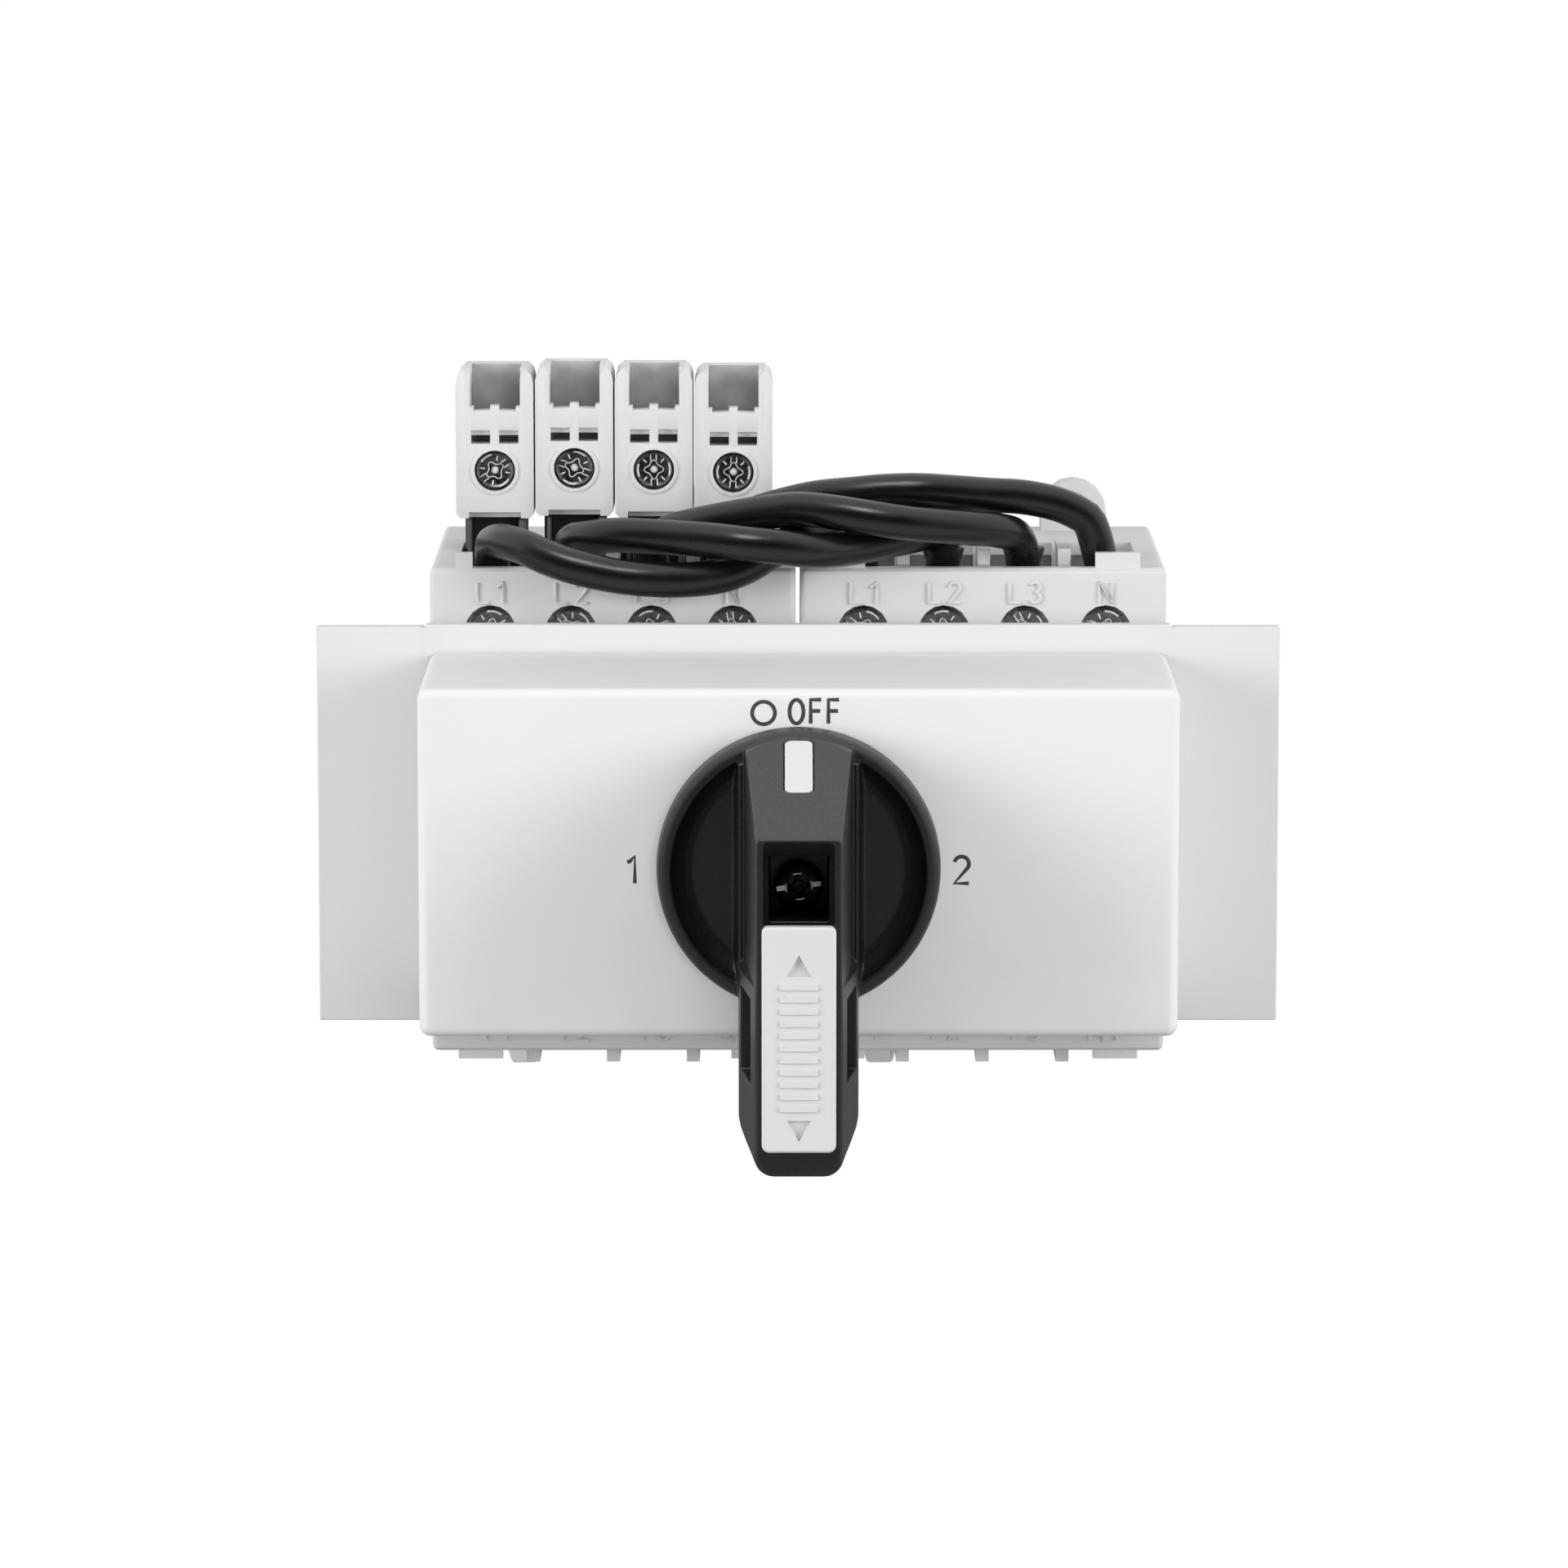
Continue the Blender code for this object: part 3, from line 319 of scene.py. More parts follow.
def dark_plastic(name, tone):
    made = Material(name, 0.5, specular=0.4)
    made.mottle((tone, tone, tone), (tone * 0.8, tone * 0.8, tone * 0.8), 2.5)
    made.gloss(0.45, 0.6, 1.0)
    made.bumps((0.2, 0.012, EVEN),)
    return made.material


def wire_insulation():
    """Satin black insulation with the faint lengthwise drag of extrusion."""
    made = Material("black_insulation", 0.3, specular=0.6)
    made.mottle((0.004, 0.004, 0.004), (0.003, 0.003, 0.003), 4.0)
    made.gloss(0.26, 0.34, 1.2, (4.0, 1.0, 1.0))
    made.bumps((0.25, 0.008, EVEN), (1.6, 0.02, (3.0, 1.0, 1.0)))
    return made.material


def zinc_steel(name, tone):
    """Zinc-plated steel: cloudy, with fine tool marks."""
    made = Material(name, 0.3, metallic=1.0)
    made.mottle((tone, tone, tone * 0.98), (tone * 0.8, tone * 0.8, tone * 0.78), 0.9)
    made.gloss(0.2, 0.42, 0.5)
    made.bumps((0.18, 0.004, (1.0, 1.0, 4.0)), (0.9, 0.006, EVEN))
    return made.material


def painted_edge_highlight():
    """Painted highlights: near-white edges on screw heads, which look lit from every side."""
    made = Material("zinc_with_painted_highlights", 0.4)
    made.mottle((0.9, 0.9, 0.89), (0.7, 0.7, 0.69), 0.5)
    made.gloss(0.3, 0.5, 0.4)
    made.bumps((0.15, 0.004, EVEN),)
    return made.material


def printed_ink():
    made = Material("printed_ink", 0.6, specular=0.3)
    made.mottle((0.062, 0.062, 0.062), (0.05, 0.05, 0.05), 0.4)
    made.bumps((0.12, 0.004, EVEN),)
    return made.material


def show_white(tree, lit, white, output):
    """Lets the backdrop light the object as lit, while the picture shows it as plain white."""
    path = tree.nodes.new("ShaderNodeLightPath")
    mix = tree.nodes.new("ShaderNodeMixShader")
    tree.links.new(path.outputs["Is Camera Ray"], mix.inputs["Fac"])
    tree.links.new(lit, mix.inputs[1])
    tree.links.new(white, mix.inputs[2])
    tree.links.new(mix.outputs["Shader"], tree.nodes[output].inputs["Surface"])


def floor_material():
    """A pale floor that shows as white."""
    made = Material("pale_floor", 0.9, specular=0.0)
    made.mottle((0.32, 0.32, 0.32), (0.30, 0.30, 0.30), 900.0)
    white = made.tree.nodes.new("ShaderNodeEmission")
    white.inputs["Color"].default_value = (1.0, 1.0, 1.0, 1.0)
    show_white(made.tree, made.shader.outputs["BSDF"], white.outputs["Emission"], "Material Output")
    return made.material


FINISH = {
    "housing": light_plastic("housing_plastic", 0.66),
    "extension": light_plastic("extension_plastic", 0.70),
    "plate": light_plastic("plate_plastic", 0.67, 0.985),
    "cover": light_plastic("cover_plastic", 0.75, 0.985),
    "white": light_plastic("white_plastic", 0.65, 0.985),
    "insert": light_plastic("insert_plastic", 0.72, 0.99),
    "ivory": light_plastic("ivory_plastic", 0.62),
    "black": black_plastic(),
    "plug": dark_plastic("dark_grey_plastic", 0.10),
    "carrier": dark_plastic("carrier_plastic", 0.05),
    "ferrule": dark_plastic("ferrule_plastic", 0.035),
    "wire": wire_insulation(),
    "zinc": zinc_steel("zinc_steel", 0.62),
    # Painted shade: a darker copy of the zinc above, for screw heads sunk in their bores
    "painted_shade_zinc": zinc_steel("zinc_steel_painted_shade", 0.26),
    # Painted highlights: near-white edges for the screw heads
    "painted_edge_highlight": painted_edge_highlight(),
    "spring": zinc_steel("spring_steel", 0.5),
    "black_steel": zinc_steel("blackened_steel", 0.03),
    # Painted shade: a grey for the inner back wall of each extension terminal's notch
    "painted_notch_shade": dark_plastic("notch_shade_grey_plastic", 0.5),
    "ink": printed_ink(),
}


# ---------------------------------------------------------------------------------------------
# Shapes
# ---------------------------------------------------------------------------------------------


def add_mesh(bm):
    bmesh.ops.recalc_face_normals(bm, faces=bm.faces)
    mesh = bpy.data.meshes.new("mesh")
    bm.to_mesh(mesh)
    bm.free()
    made = bpy.data.objects.new("piece", mesh)
    bpy.context.scene.collection.objects.link(made)
    return made


def loft(rings):
    """A closed solid through rings of the same number of points, with flat ends."""
    bm = bmesh.new()
    loops = [[bm.verts.new(Vector(point) * MM) for point in ring] for ring in rings]
    count = len(rings[0])
    for first, second in zip(loops, loops[1:]):
        for i in range(count):
            j = (i + 1) % count
            bm.faces.new((first[i], first[j], second[j], second[i]))
    bm.faces.new(loops[0])
    bm.faces.new(loops[-1])
    return add_mesh(bm)


def prism(outline, low, high):
    """An (x, z) outline drawn along Y."""
    return loft([[(x, depth, z) for x, z in outline] for depth in (low, high)])


def block(x, y, z):
    x, z = sorted(x), sorted(z)
    return prism([(x[0], z[0]), (x[1], z[0]), (x[1], z[1]), (x[0], z[1])], *sorted(y))


def rounded_outline(x, z, radii, steps=6):
    """A rectangle's outline with arcs; radii are for its lower right corner and then anticlockwise."""
    corners = [(x[1], z[0], -90), (x[1], z[1], 0), (x[0], z[1], 90), (x[0], z[0], 180)]
    middle = ((x[0] + x[1]) / 2, (z[0] + z[1]) / 2)
    points = []
    for (corner_x, corner_z, start), radius in zip(corners, radii):
        centre_x = corner_x - math.copysign(radius, corner_x - middle[0])
        centre_z = corner_z - math.copysign(radius, corner_z - middle[1])
        for step in range(steps + 1):
            angle = math.radians(start + 90 * step / steps)
            points.append((centre_x + radius * math.cos(angle), centre_z + radius * math.sin(angle)))
    return points


def soft_block(x, y, z, radius, front_radius):
    """A box that faces -Y, with round corners and a rounded front edge."""
    steps = 6
    x, y, z = sorted(x), sorted(y), sorted(z)
    rings = []
    for step in range(steps + 1):
        angle = math.pi / 2 * step / steps
        inset = front_radius * (1 - math.sin(angle))
        depth = y[0] + front_radius * (1 - math.cos(angle))
        corner = [max(radius - inset, 0.05)] * 4
        inner_x = (x[0] + inset, x[1] - inset)
        inner_z = (z[0] + inset, z[1] - inset)
        outline = rounded_outline(inner_x, inner_z, corner, steps)
        rings.append([(a, depth, b) for a, b in outline])
    outline = rounded_outline(x, z, [radius] * 4, steps)
    rings.append([(a, y[1], b) for a, b in outline])
    return loft(rings)


def circle(radius, centre=(0.0, 0.0), sides=64):
    turn = 2 * math.pi / sides
    return [
        (centre[0] + radius * math.cos(turn * i), centre[1] + radius * math.sin(turn * i))
        for i in range(sides)
    ]


def rod(radius, y, centre=(0.0, 0.0), sides=64):
    return prism(circle(radius, centre, sides), *sorted(y))


def turned(profile, centre=(0.0, 0.0), sides=64):
    """A solid turned about an axis along Y, from its (place along Y, radius) points."""
    rings = []
    for depth, radius in profile:
        rings.append([(a, depth, b) for a, b in circle(radius, centre, sides)])
    return loft(rings)


def ring(inner, outer, y, centre):
    return cut(rod(outer, y, centre), rod(inner, (y[0] - 1.0, y[1] + 1.0), centre))


def tube(points, radius, sides=8):
    """A round bar through points in one XZ plane."""
    rings = []
    for index, point in enumerate(points):
        before = Vector(points[max(index - 1, 0)])
        after = Vector(points[min(index + 1, len(points) - 1)])
        along = (after - before).normalized()
        across = along.cross(Vector((0.0, 1.0, 0.0)))
        rings.append([
            tuple(Vector(point) + across * radius * a + Vector((0.0, 1.0, 0.0)) * radius * b)
            for a, b in circle(1.0, sides=sides)
        ])
    return loft(rings)


def apply_modifiers(piece):
    graph = bpy.context.evaluated_depsgraph_get()
    mesh = bpy.data.meshes.new_from_object(piece.evaluated_get(graph))
    piece.modifiers.clear()
    piece.data = mesh
    return piece


def combine(body, tools, operation):
    for tool in tools:
        modifier = body.modifiers.new("combine", "BOOLEAN")
        modifier.operation = operation
        modifier.solver = "EXACT"
        modifier.object = tool
        apply_modifiers(body)
        bpy.data.objects.remove(tool)
    return body


def cut(body, *tools):
    return combine(body, tools, "DIFFERENCE")


def join(body, *tools):
    return combine(body, tools, "UNION")


def keep_inside(body, tool):
    return combine(body, [tool], "INTERSECT")


def soften(piece, width):
    """Rounds the piece's sharp edges."""
    bm = bmesh.new()
    bm.from_mesh(piece.data)
    bmesh.ops.remove_doubles(bm, verts=bm.verts, dist=0.002 * MM)
    bmesh.ops.dissolve_limit(bm, angle_limit=math.radians(0.5), verts=bm.verts, edges=bm.edges)
    bm.to_mesh(piece.data)
    bm.free()
    modifier = piece.modifiers.new("soften", "BEVEL")
    modifier.width = width * MM
    modifier.segments = 2
    modifier.limit_method = "ANGLE"
    modifier.angle_limit = math.radians(30)
    modifier.use_clamp_overlap = True
    return apply_modifiers(piece)


def melt(piece, voxel, rounds):
    """Remeshes a piece finely and relaxes it, so that its edges run soft as on a moulding."""
    remesh = piece.modifiers.new("remesh", "REMESH")
    remesh.mode = "VOXEL"
    remesh.voxel_size = voxel * MM
    relax = piece.modifiers.new("relax", "SMOOTH")
    relax.factor = 0.5
    relax.iterations = rounds
    return apply_modifiers(piece)


def add_piece(piece, name, body, finish, replaces=(), angle=35):
    """Names a finished shape, shades it, gives it its material and puts it on its body."""
    piece.name = name
    piece.data.name = name
    piece.data.materials.clear()
    piece.data.materials.append(FINISH[finish])
    if piece.type == "MESH":
        piece.data.shade_smooth()
        piece.data.set_sharp_from_angle(angle=math.radians(angle))
    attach(piece, body)
    if replaces:
        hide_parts(*replaces)
    return piece


# ---------------------------------------------------------------------------------------------
# Camera and wires
# ---------------------------------------------------------------------------------------------


def make_camera():
    data = bpy.data.cameras.new("camera")
    data.lens = LENS
    data.sensor_width = SENSOR_WIDTH
    data.clip_start = 0.01
    data.clip_end = 100.0
    camera = bpy.data.objects.new("camera", data)
    away = Vector((0.0, -math.cos(CAMERA_ELEVATION), math.sin(CAMERA_ELEVATION)))
    camera.location = (Vector(CAMERA_TARGET) + away * CAMERA_DISTANCE) * MM
    camera.rotation_euler = (math.pi / 2 - CAMERA_ELEVATION, 0.0, 0.0)
    bpy.context.scene.collection.objects.link(camera)
    bpy.context.scene.camera = camera


def smooth_route(points, step):
    """Points a step apart, in mm, along a smooth curve through the route's own points."""
    first = 2 * Vector(points[0]) - Vector(points[1])
    last = 2 * Vector(points[-1]) - Vector(points[-2])
    knots = [first, *(Vector(p) for p in points), last]
    fine = []
    parts = 24
    for a, b, c, d in zip(knots, knots[1:], knots[2:], knots[3:]):
        for i in range(parts):
            t = i / parts
            fine.append(
                0.5 * (2 * b + (c - a) * t + (2 * a - 5 * b + 4 * c - d) * t ** 2
                       + (3 * b - a - 3 * c + d) * t ** 3)
            )
    fine.append(knots[-2])
    spaced = [fine[0]]
    for point in fine:
        if (point - spaced[-1]).length >= step:
            spaced.append(point)
    spaced[-1] = fine[-1]
    return spaced


def add_wire(name):
    points = smooth_route(WIRE_ROUTES[name], ROUTE_STEP)
    curve = bpy.data.curves.new("wire", "CURVE")
    curve.dimensions = "3D"
    curve.bevel_depth = WIRE_DIAMETER / 2 * MM
    curve.bevel_resolution = 10
    curve.use_fill_caps = True
    spline = curve.splines.new("POLY")
    spline.points.add(len(points) - 1)
    for knot, point in zip(spline.points, points):
        knot.co = (*(point * MM), 1.0)
    wire = bpy.data.objects.new("wire", curve)
    bpy.context.scene.collection.objects.link(wire)
    node = "jumper_wire_" + name
    add_piece(wire, "wire_" + name, "housing", "wire", [node])


def make_ferrules():
    """The tapered collars of two end sleeves, where the wires go into their terminals."""
    profile = ((26.4, 1.75), (27.6, 1.8), (28.6, 2.15), (29.4, 2.4), (29.6, 2.4), (29.7, 2.3))
    for name, x in FERRULES.items():
        rings = []
        for height, radius in profile:
            outline = circle(radius, (x, WIRE_ENTRY_Y), 40)
            rings.append([(a, b, height) for a, b in outline])
        add_piece(loft(rings), name, "housing", "ferrule")


# ---------------------------------------------------------------------------------------------
# Handle
# ---------------------------------------------------------------------------------------------


def ramp_height(depth):
    rise = (depth - KNOB_RIM) / (GRIP_FRONT - KNOB_RIM)
    return RAMP_TOP + rise * (RAMP_BOTTOM - RAMP_TOP)


def grip():
    """The lever that stands across the knob, with leaning sides and a longer lower end.

    Each section is (place along Y, half width, lower end, top corner radius, bottom corner radius).
    """
    rings = []
    sections = (
        (KNOB_BACK, 6.55, -26.8, 0.7, 0.5), (KNOB_RIM, 6.55, -27.4, 0.7, 0.5),
        (-82.6, 6.45, -27.7, 0.8, 0.7), (-85.0, 6.3, -28.0, 0.9, 0.9),
        (-90.0, 5.75, -28.8, 0.9, 1.3), (-95.0, 5.2, -29.45, 0.8, 1.7),
        (-99.0, 4.78, -29.95, 0.7, 2.0), (-99.6, 4.66, -29.9, 0.6, 2.0),
        (-99.9, 4.5, -29.7, 0.5, 1.9), (GRIP_FRONT, 4.3, -29.45, 0.4, 1.8),
    )
    for depth, half_width, bottom, top_radius, bottom_radius in sections:
        top = ramp_height(min(depth, KNOB_RIM))
        radii = (bottom_radius, top_radius, top_radius, bottom_radius)
        outline = rounded_outline((-half_width, half_width), (bottom, top), radii)
        rings.append([(x, depth, z) for x, z in outline])
    blank = loft(rings)
    depths = (GRIP_FRONT - 1.0, KNOB_BACK + 1.0)
    within = join(
        rod(RAMP_EDGE_RADIUS, depths, (0.0, RAMP_TOP - RAMP_EDGE_RADIUS), 160),
        block((-9.0, 9.0), depths, (-32.0, 0.0)),
    )
    return cut(keep_inside(blank, within), grip_shoulder(-1), grip_shoulder(1))


def grip_shoulder(side):
    """What the lever lacks beside the disc, where it stands narrower than below it."""
    rings = []
    for depth, inner in ((KNOB_BACK + 1.5, 5.95), (KNOB_RIM, 5.9), (GRIP_FRONT - 1.5, 4.5)):
        outline = ((inner, -9.5), (9.0, -12.6), (9.0, 17.0), (inner, 17.0))
        rings.append([(side * x, depth, z) for x, z in outline])
    return loft(rings)


def cheek(side):
    """The dished hollow between the grip and the rim.

    Each level is (place along Y, radius, inner edge).
    """
    steps = 40
    rings = []
    levels = (
        (CHEEK_FLOOR, 11.6, 7.2), (-78.7, 12.5, 6.9), (-79.3, 13.2, 6.75), (-80.0, 13.7, 6.65),
        (KNOB_RIM - 0.4, 14.1, 6.55),
    )
    for depth, radius, inner in levels:
        reach = math.acos(inner / radius)
        points = []
        for step in range(steps + 1):
            angle = reach * (2 * step / steps - 1)
            points.append((side * radius * math.cos(angle), depth, radius * math.sin(angle)))
        rings.append(points)
    return loft(rings)


def knob_window():
    """The screw window and the slider's track, with their sloped upper rim."""
    half = WINDOW_HALF_WIDTH
    mouth = rounded_outline((-3.95, 3.95), (-32.0, 6.7), (0.1, 0.5, 0.5, 0.1))
    throat = rounded_outline((-half, half), (-32.0, WINDOW_TOP), (0.1, 0.2, 0.2, 0.1))
    sloped = loft([
        [(x, GRIP_FRONT - 0.3, z) for x, z in mouth],
        [(x, TRACK_LIP, z) for x, z in throat],
    ])
    return keep_inside(sloped, block((-5.0, 5.0), (-101.0, -97.0), (SLIDER_TOP - 0.1, 9.0)))


def knob_disc():
    """The round base, with a rolled rim."""
    rim_radius = 1.3
    steps = 8
    profile = [(KNOB_BACK, 15.2), (-76.6, 15.45), (-77.0, KNOB_RADIUS), (-78.6, 15.5)]
    for step in range(steps + 1):
        angle = math.pi / 2 * step / steps
        depth = -79.3 - rim_radius * math.sin(angle)
        profile.append((depth, 14.15 + rim_radius * math.cos(angle)))
    return turned(profile, sides=160)


def grip_bead(side):
    """The thin bead where the grip's side meets the disc."""
    radius = 0.28
    rings = []
    for z in (-11.9, 11.9):
        rings.append([
            (side * 6.3 + a * radius, -80.55 + b * radius, z) for a, b in circle(1.0, sides=16)
        ])
    return loft(rings)


def make_knob():
    knob = join(knob_disc(), grip())
    cut(knob, cheek(-1), cheek(1))
    join(knob, grip_bead(-1), grip_bead(1))
    half = WINDOW_HALF_WIDTH
    track_height = (TRACK_BOTTOM, WINDOW_TOP)
    cut(
        knob,
        knob_window(),
        block((-half, half), (GRIP_FRONT - 0.5, TRACK_LIP), track_height),
        block((-TRACK_HALF_WIDTH, TRACK_HALF_WIDTH), (TRACK_LIP - 0.3, TRACK_FLOOR), track_height),
        block((-half, half), (TRACK_FLOOR - 0.5, WINDOW_FLOOR), (SLIDER_TOP - 0.2, WINDOW_TOP)),
        block((-8.0, 8.0), PADLOCK_HOLE_Y, PADLOCK_HOLE_Z),
        rod(SHAFT_SOCKET_RADIUS, (KNOB_BACK + 0.5, SHAFT_SOCKET_FLOOR)),
        rod(SCREW_HOLE_RADIUS, (SHAFT_SOCKET_FLOOR + 0.5, WINDOW_FLOOR - 0.5)),
        insert_shape(INSERT_HALF_WIDTH + 0.12, INSERT_LENGTH + 0.25, 0.95, 0.6, 0.75),
    )
    melt(knob, 0.14, 3)
    add_piece(knob, "knob", "handle", "black", ["handle_knob"], angle=60)


def insert_shape(half_width, length, depth, proud, corner):
    """The pointer plate let into the ramp."""
    down = Vector((0.0, GRIP_FRONT - KNOB_RIM, RAMP_BOTTOM - RAMP_TOP)).normalized()
    out = Vector((0.0, down.z, -down.y))
    start = Vector((0.0, KNOB_RIM, RAMP_TOP)) + down * (INSERT_MIDDLE - length / 2)
    rings = []
    for away, inset in ((-depth, 0.0), (proud - 0.08, 0.0), (proud, 0.08)):
        points = []
        outline = rounded_outline(
            (-half_width + inset, half_width - inset), (inset, length - inset), [corner] * 4
        )
        for x, along in outline:
            points.append(tuple(start + down * along + out * away + Vector((x, 0.0, 0.0))))
        rings.append(points)
    return loft(rings)


def make_insert():
    insert = insert_shape(INSERT_HALF_WIDTH, INSERT_LENGTH, 0.8, INSERT_PROUD, 0.7)
    add_piece(insert, "pointer_insert", "handle", "insert", ["indicator_insert"])


def slider_plate():
    """The slider's face, with a rounded front edge and a lower end that bows out."""
    half = SLIDER_HALF_WIDTH
    low_end = -20.0
    rings = []
    for back, inset in ((0.0, 0.35), (0.04, 0.2), (0.14, 0.07), (0.3, 0.0), (1.2, 0.0)):
        outline = rounded_outline(
            (-half + inset, half - inset), (SLIDER_BOTTOM + inset, SLIDER_TOP - inset), [0.75 - inset] * 4
        )
        points = []
        for x, z in outline:
            bow = 0.2 - 0.22 * (1 - (x / half) ** 2) if z < low_end else 0.0
            points.append((x, SLIDER_FRONT + back, z + bow))
        rings.append(points)
    return loft(rings)


def slider_rib(middle):
    """A raised rib across the slider, with sloped sides."""
    top_x = RIB_HALF_WIDTH - RIB_SLOPE
    top_z = RIB_HALF_HEIGHT - RIB_SLOPE
    foot = rounded_outline(
        (-RIB_HALF_WIDTH, RIB_HALF_WIDTH), (middle - RIB_HALF_HEIGHT, middle + RIB_HALF_HEIGHT), [0.12] * 4
    )
    top = rounded_outline((-top_x, top_x), (middle - top_z, middle + top_z), [0.1] * 4)
    return loft([
        [(x, SLIDER_FRONT - 0.24, z) for x, z in top],
        [(x, SLIDER_FRONT + 0.1, z) for x, z in foot],
    ])


def make_lock_slider():
    slider = slider_plate()
    for middle, point in SLIDER_ARROWS:
        base = middle - point * ARROW_HALF_HEIGHT
        outline = [
            (-ARROW_HALF_WIDTH, base), (ARROW_HALF_WIDTH, base), (0.0, middle + point * ARROW_HALF_HEIGHT),
        ]
        cut(slider, prism(outline, SLIDER_FRONT - 0.5, SLIDER_FRONT + 0.45))
    for rib in range(RIBS):
        join(slider, slider_rib(RIB_TOP - RIB_PITCH * rib))
    join(
        slider,
        block((-2.9, 2.9), (-101.0, -97.2), (-24.9, -6.0)),
        block((-3.7, 3.7), (-97.9, -96.9), (-24.9, -6.0)),
    )
    add_piece(slider, "slider", "lock_slider", "white", ["lock_slider"], angle=14)


def gather(*pieces):
    """Puts several shapes into the first one's mesh as they are."""
    bm = bmesh.new()
    for piece in pieces:
        bm.from_mesh(piece.data)
    bm.to_mesh(pieces[0].data)
    bm.free()
    for piece in pieces[1:]:
        bpy.data.objects.remove(piece)
    return pieces[0]


def put(piece, turn, centre):
    """Turns a shape made about the Y axis, then moves it to an (x, z) place."""
    piece.data.transform(Matrix.Rotation(math.radians(turn), 4, "Y"))
    piece.data.transform(Matrix.Translation(Vector((centre[0], 0.0, centre[1])) * MM))
    return piece


def star(inner, outer):
    """The four-lobed outline of a driver recess."""
    steps = 48
    points = []
    for step in range(steps):
        angle = 2 * math.pi * step / steps
        radius = inner + (outer - inner) * (0.5 + 0.5 * math.cos(4 * angle)) ** 1.5
        points.append((radius * math.cos(angle), radius * math.sin(angle)))
    return points


def round_place(radius, angle, depth):
    return (radius * math.cos(angle), depth, radius * math.sin(angle))


def screw_head(radius, front, turn, centre):
    """A dished head with a slot across it and a star recess."""
    profile = [
        (front + 0.9, radius), (front + 0.22, radius), (front, radius - 0.24), (front + 0.16, radius - 0.5),
    ]
    head = turned(profile, sides=48)
    floor = [(x, front + 0.8, z) for x, z in star(radius * 0.2, radius * 0.34)]
    mouth = [(x, front - 0.1, z) for x, z in star(radius * 0.33, radius * 0.52)]
    cut(head, loft([floor, mouth]))
    for end in (-1, 1):
        cut(head, block((end * radius * 0.4, end * (radius + 1)), (front - 0.3, front + 0.5), (-0.3, 0.3)))
    return put(head, turn, centre)


def painted_screw_highlights(radius, front, turn, centre):
    """Painted highlights as raised edges of a head: the recess's lip, the slot's lips, ticks and two rim
    arcs.
    """
    lip = star(radius * 0.34, radius * 0.53)
    pieces = [tube([(x, front + 0.14, z) for x, z in [*lip, lip[0], lip[1]]], 0.055, 6)]
    for end in (-1, 1):
        for edge in (-0.34, 0.34):
            line = [(end * radius * part, front + 0.1, edge) for part in (0.5, 0.7, 0.86)]
            pieces.append(tube(line, 0.07, 6))
        rim_angles = [math.pi / 2 * end + step * 0.1 for step in range(-4, 5)]
        rim = [round_place(radius * 0.88, angle, front + 0.02) for angle in rim_angles]
        pieces.append(tube(rim, 0.11, 6))
        for slant in (-1, 1):
            angle = math.pi / 2 * (1 - end) + slant * math.pi / 4
            tick = [round_place(radius * part, angle, front + 0.1) for part in (0.56, 0.68, 0.82)]
            pieces.append(tube(tick, 0.09, 6))
    cone = [(front + 0.3, 0.1 * radius), (front + 0.45, 0.2 * radius), (front + 0.85, 0.22 * radius)]
    pieces.append(turned(cone, sides=16))
    return put(gather(*pieces), turn, centre)


def make_handle_screw():
    """The screw that holds the knob: black, with painted highlights in its slot and around its recess."""
    front, turn, centre = HANDLE_SCREW_FRONT, HANDLE_SCREW_TURN, (0.0, 0.0)
    screw = screw_head(HANDLE_SCREW_RADIUS, front, turn, centre)
    join(screw, turned([(-89.2, 2.7), (-88.6, 2.7), (-88.6, 1.5), (-80.4, 1.5)]))
    add_piece(screw, "knob_screw", "handle", "black_steel", ["handle_screw"])
    # Painted highlights: the slot's faces and four arcs around the recess
    marks = []
    for end in (-1, 1):
        marks.append(block((end * 1.3, end * 2.4), (front + 0.3, front + 0.6), (-0.27, 0.27)))
    for quarter in range(4):
        angles = [math.pi / 2 * quarter + step * 0.11 for step in range(-3, 4)]
        marks.append(tube([round_place(1.42, angle, front + 0.1) for angle in angles], 0.07))
    marked = put(gather(*marks), turn, centre)
    add_piece(marked, "knob_screw_painted_glints", "handle", "painted_edge_highlight")


# ---------------------------------------------------------------------------------------------
# Cover, plate and wings
# ---------------------------------------------------------------------------------------------


def make_cover():
    low, high = (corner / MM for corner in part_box("mechanism_cover"))
    wall = COVER_WALL
    box = soft_block((low.x, high.x), (low.y, high.y), (low.z, high.z), 1.3, 1.1)
    cut(
        box,
        block((low.x + wall, high.x - wall), (low.y + wall, high.y + 1.0), (low.z + wall, high.z - wall)),
        rod(COVER_BORE, (low.y - 1.0, low.y + wall + 1.0)),
    )
    add_piece(box, "cover", "housing", "cover", ["mechanism_cover"], angle=25)


def make_seams():
    """Closes the line between the plate and each wing to a hair's breadth."""
    for label_side, side in SIDES.items():
        strip = block(
            (side * (PLATE_HALF_WIDTH - 0.16), side * (PLATE_HALF_WIDTH + 0.46)),
            (PLATE_FRONT + 0.02, PLATE_FRONT + 1.4),
            (-22.4, 22.42),
        )
        add_piece(strip, f"{label_side}_seam", "housing", "plate")


def arc(centre, radius, start, end, steps=12, tall=1.0):
    points = []
    for step in range(steps + 1):
        angle = math.radians(start + (end - start) * step / steps)
        points.append((centre[0] + radius * math.cos(angle), centre[1] + tall * radius * math.sin(angle)))
    return points


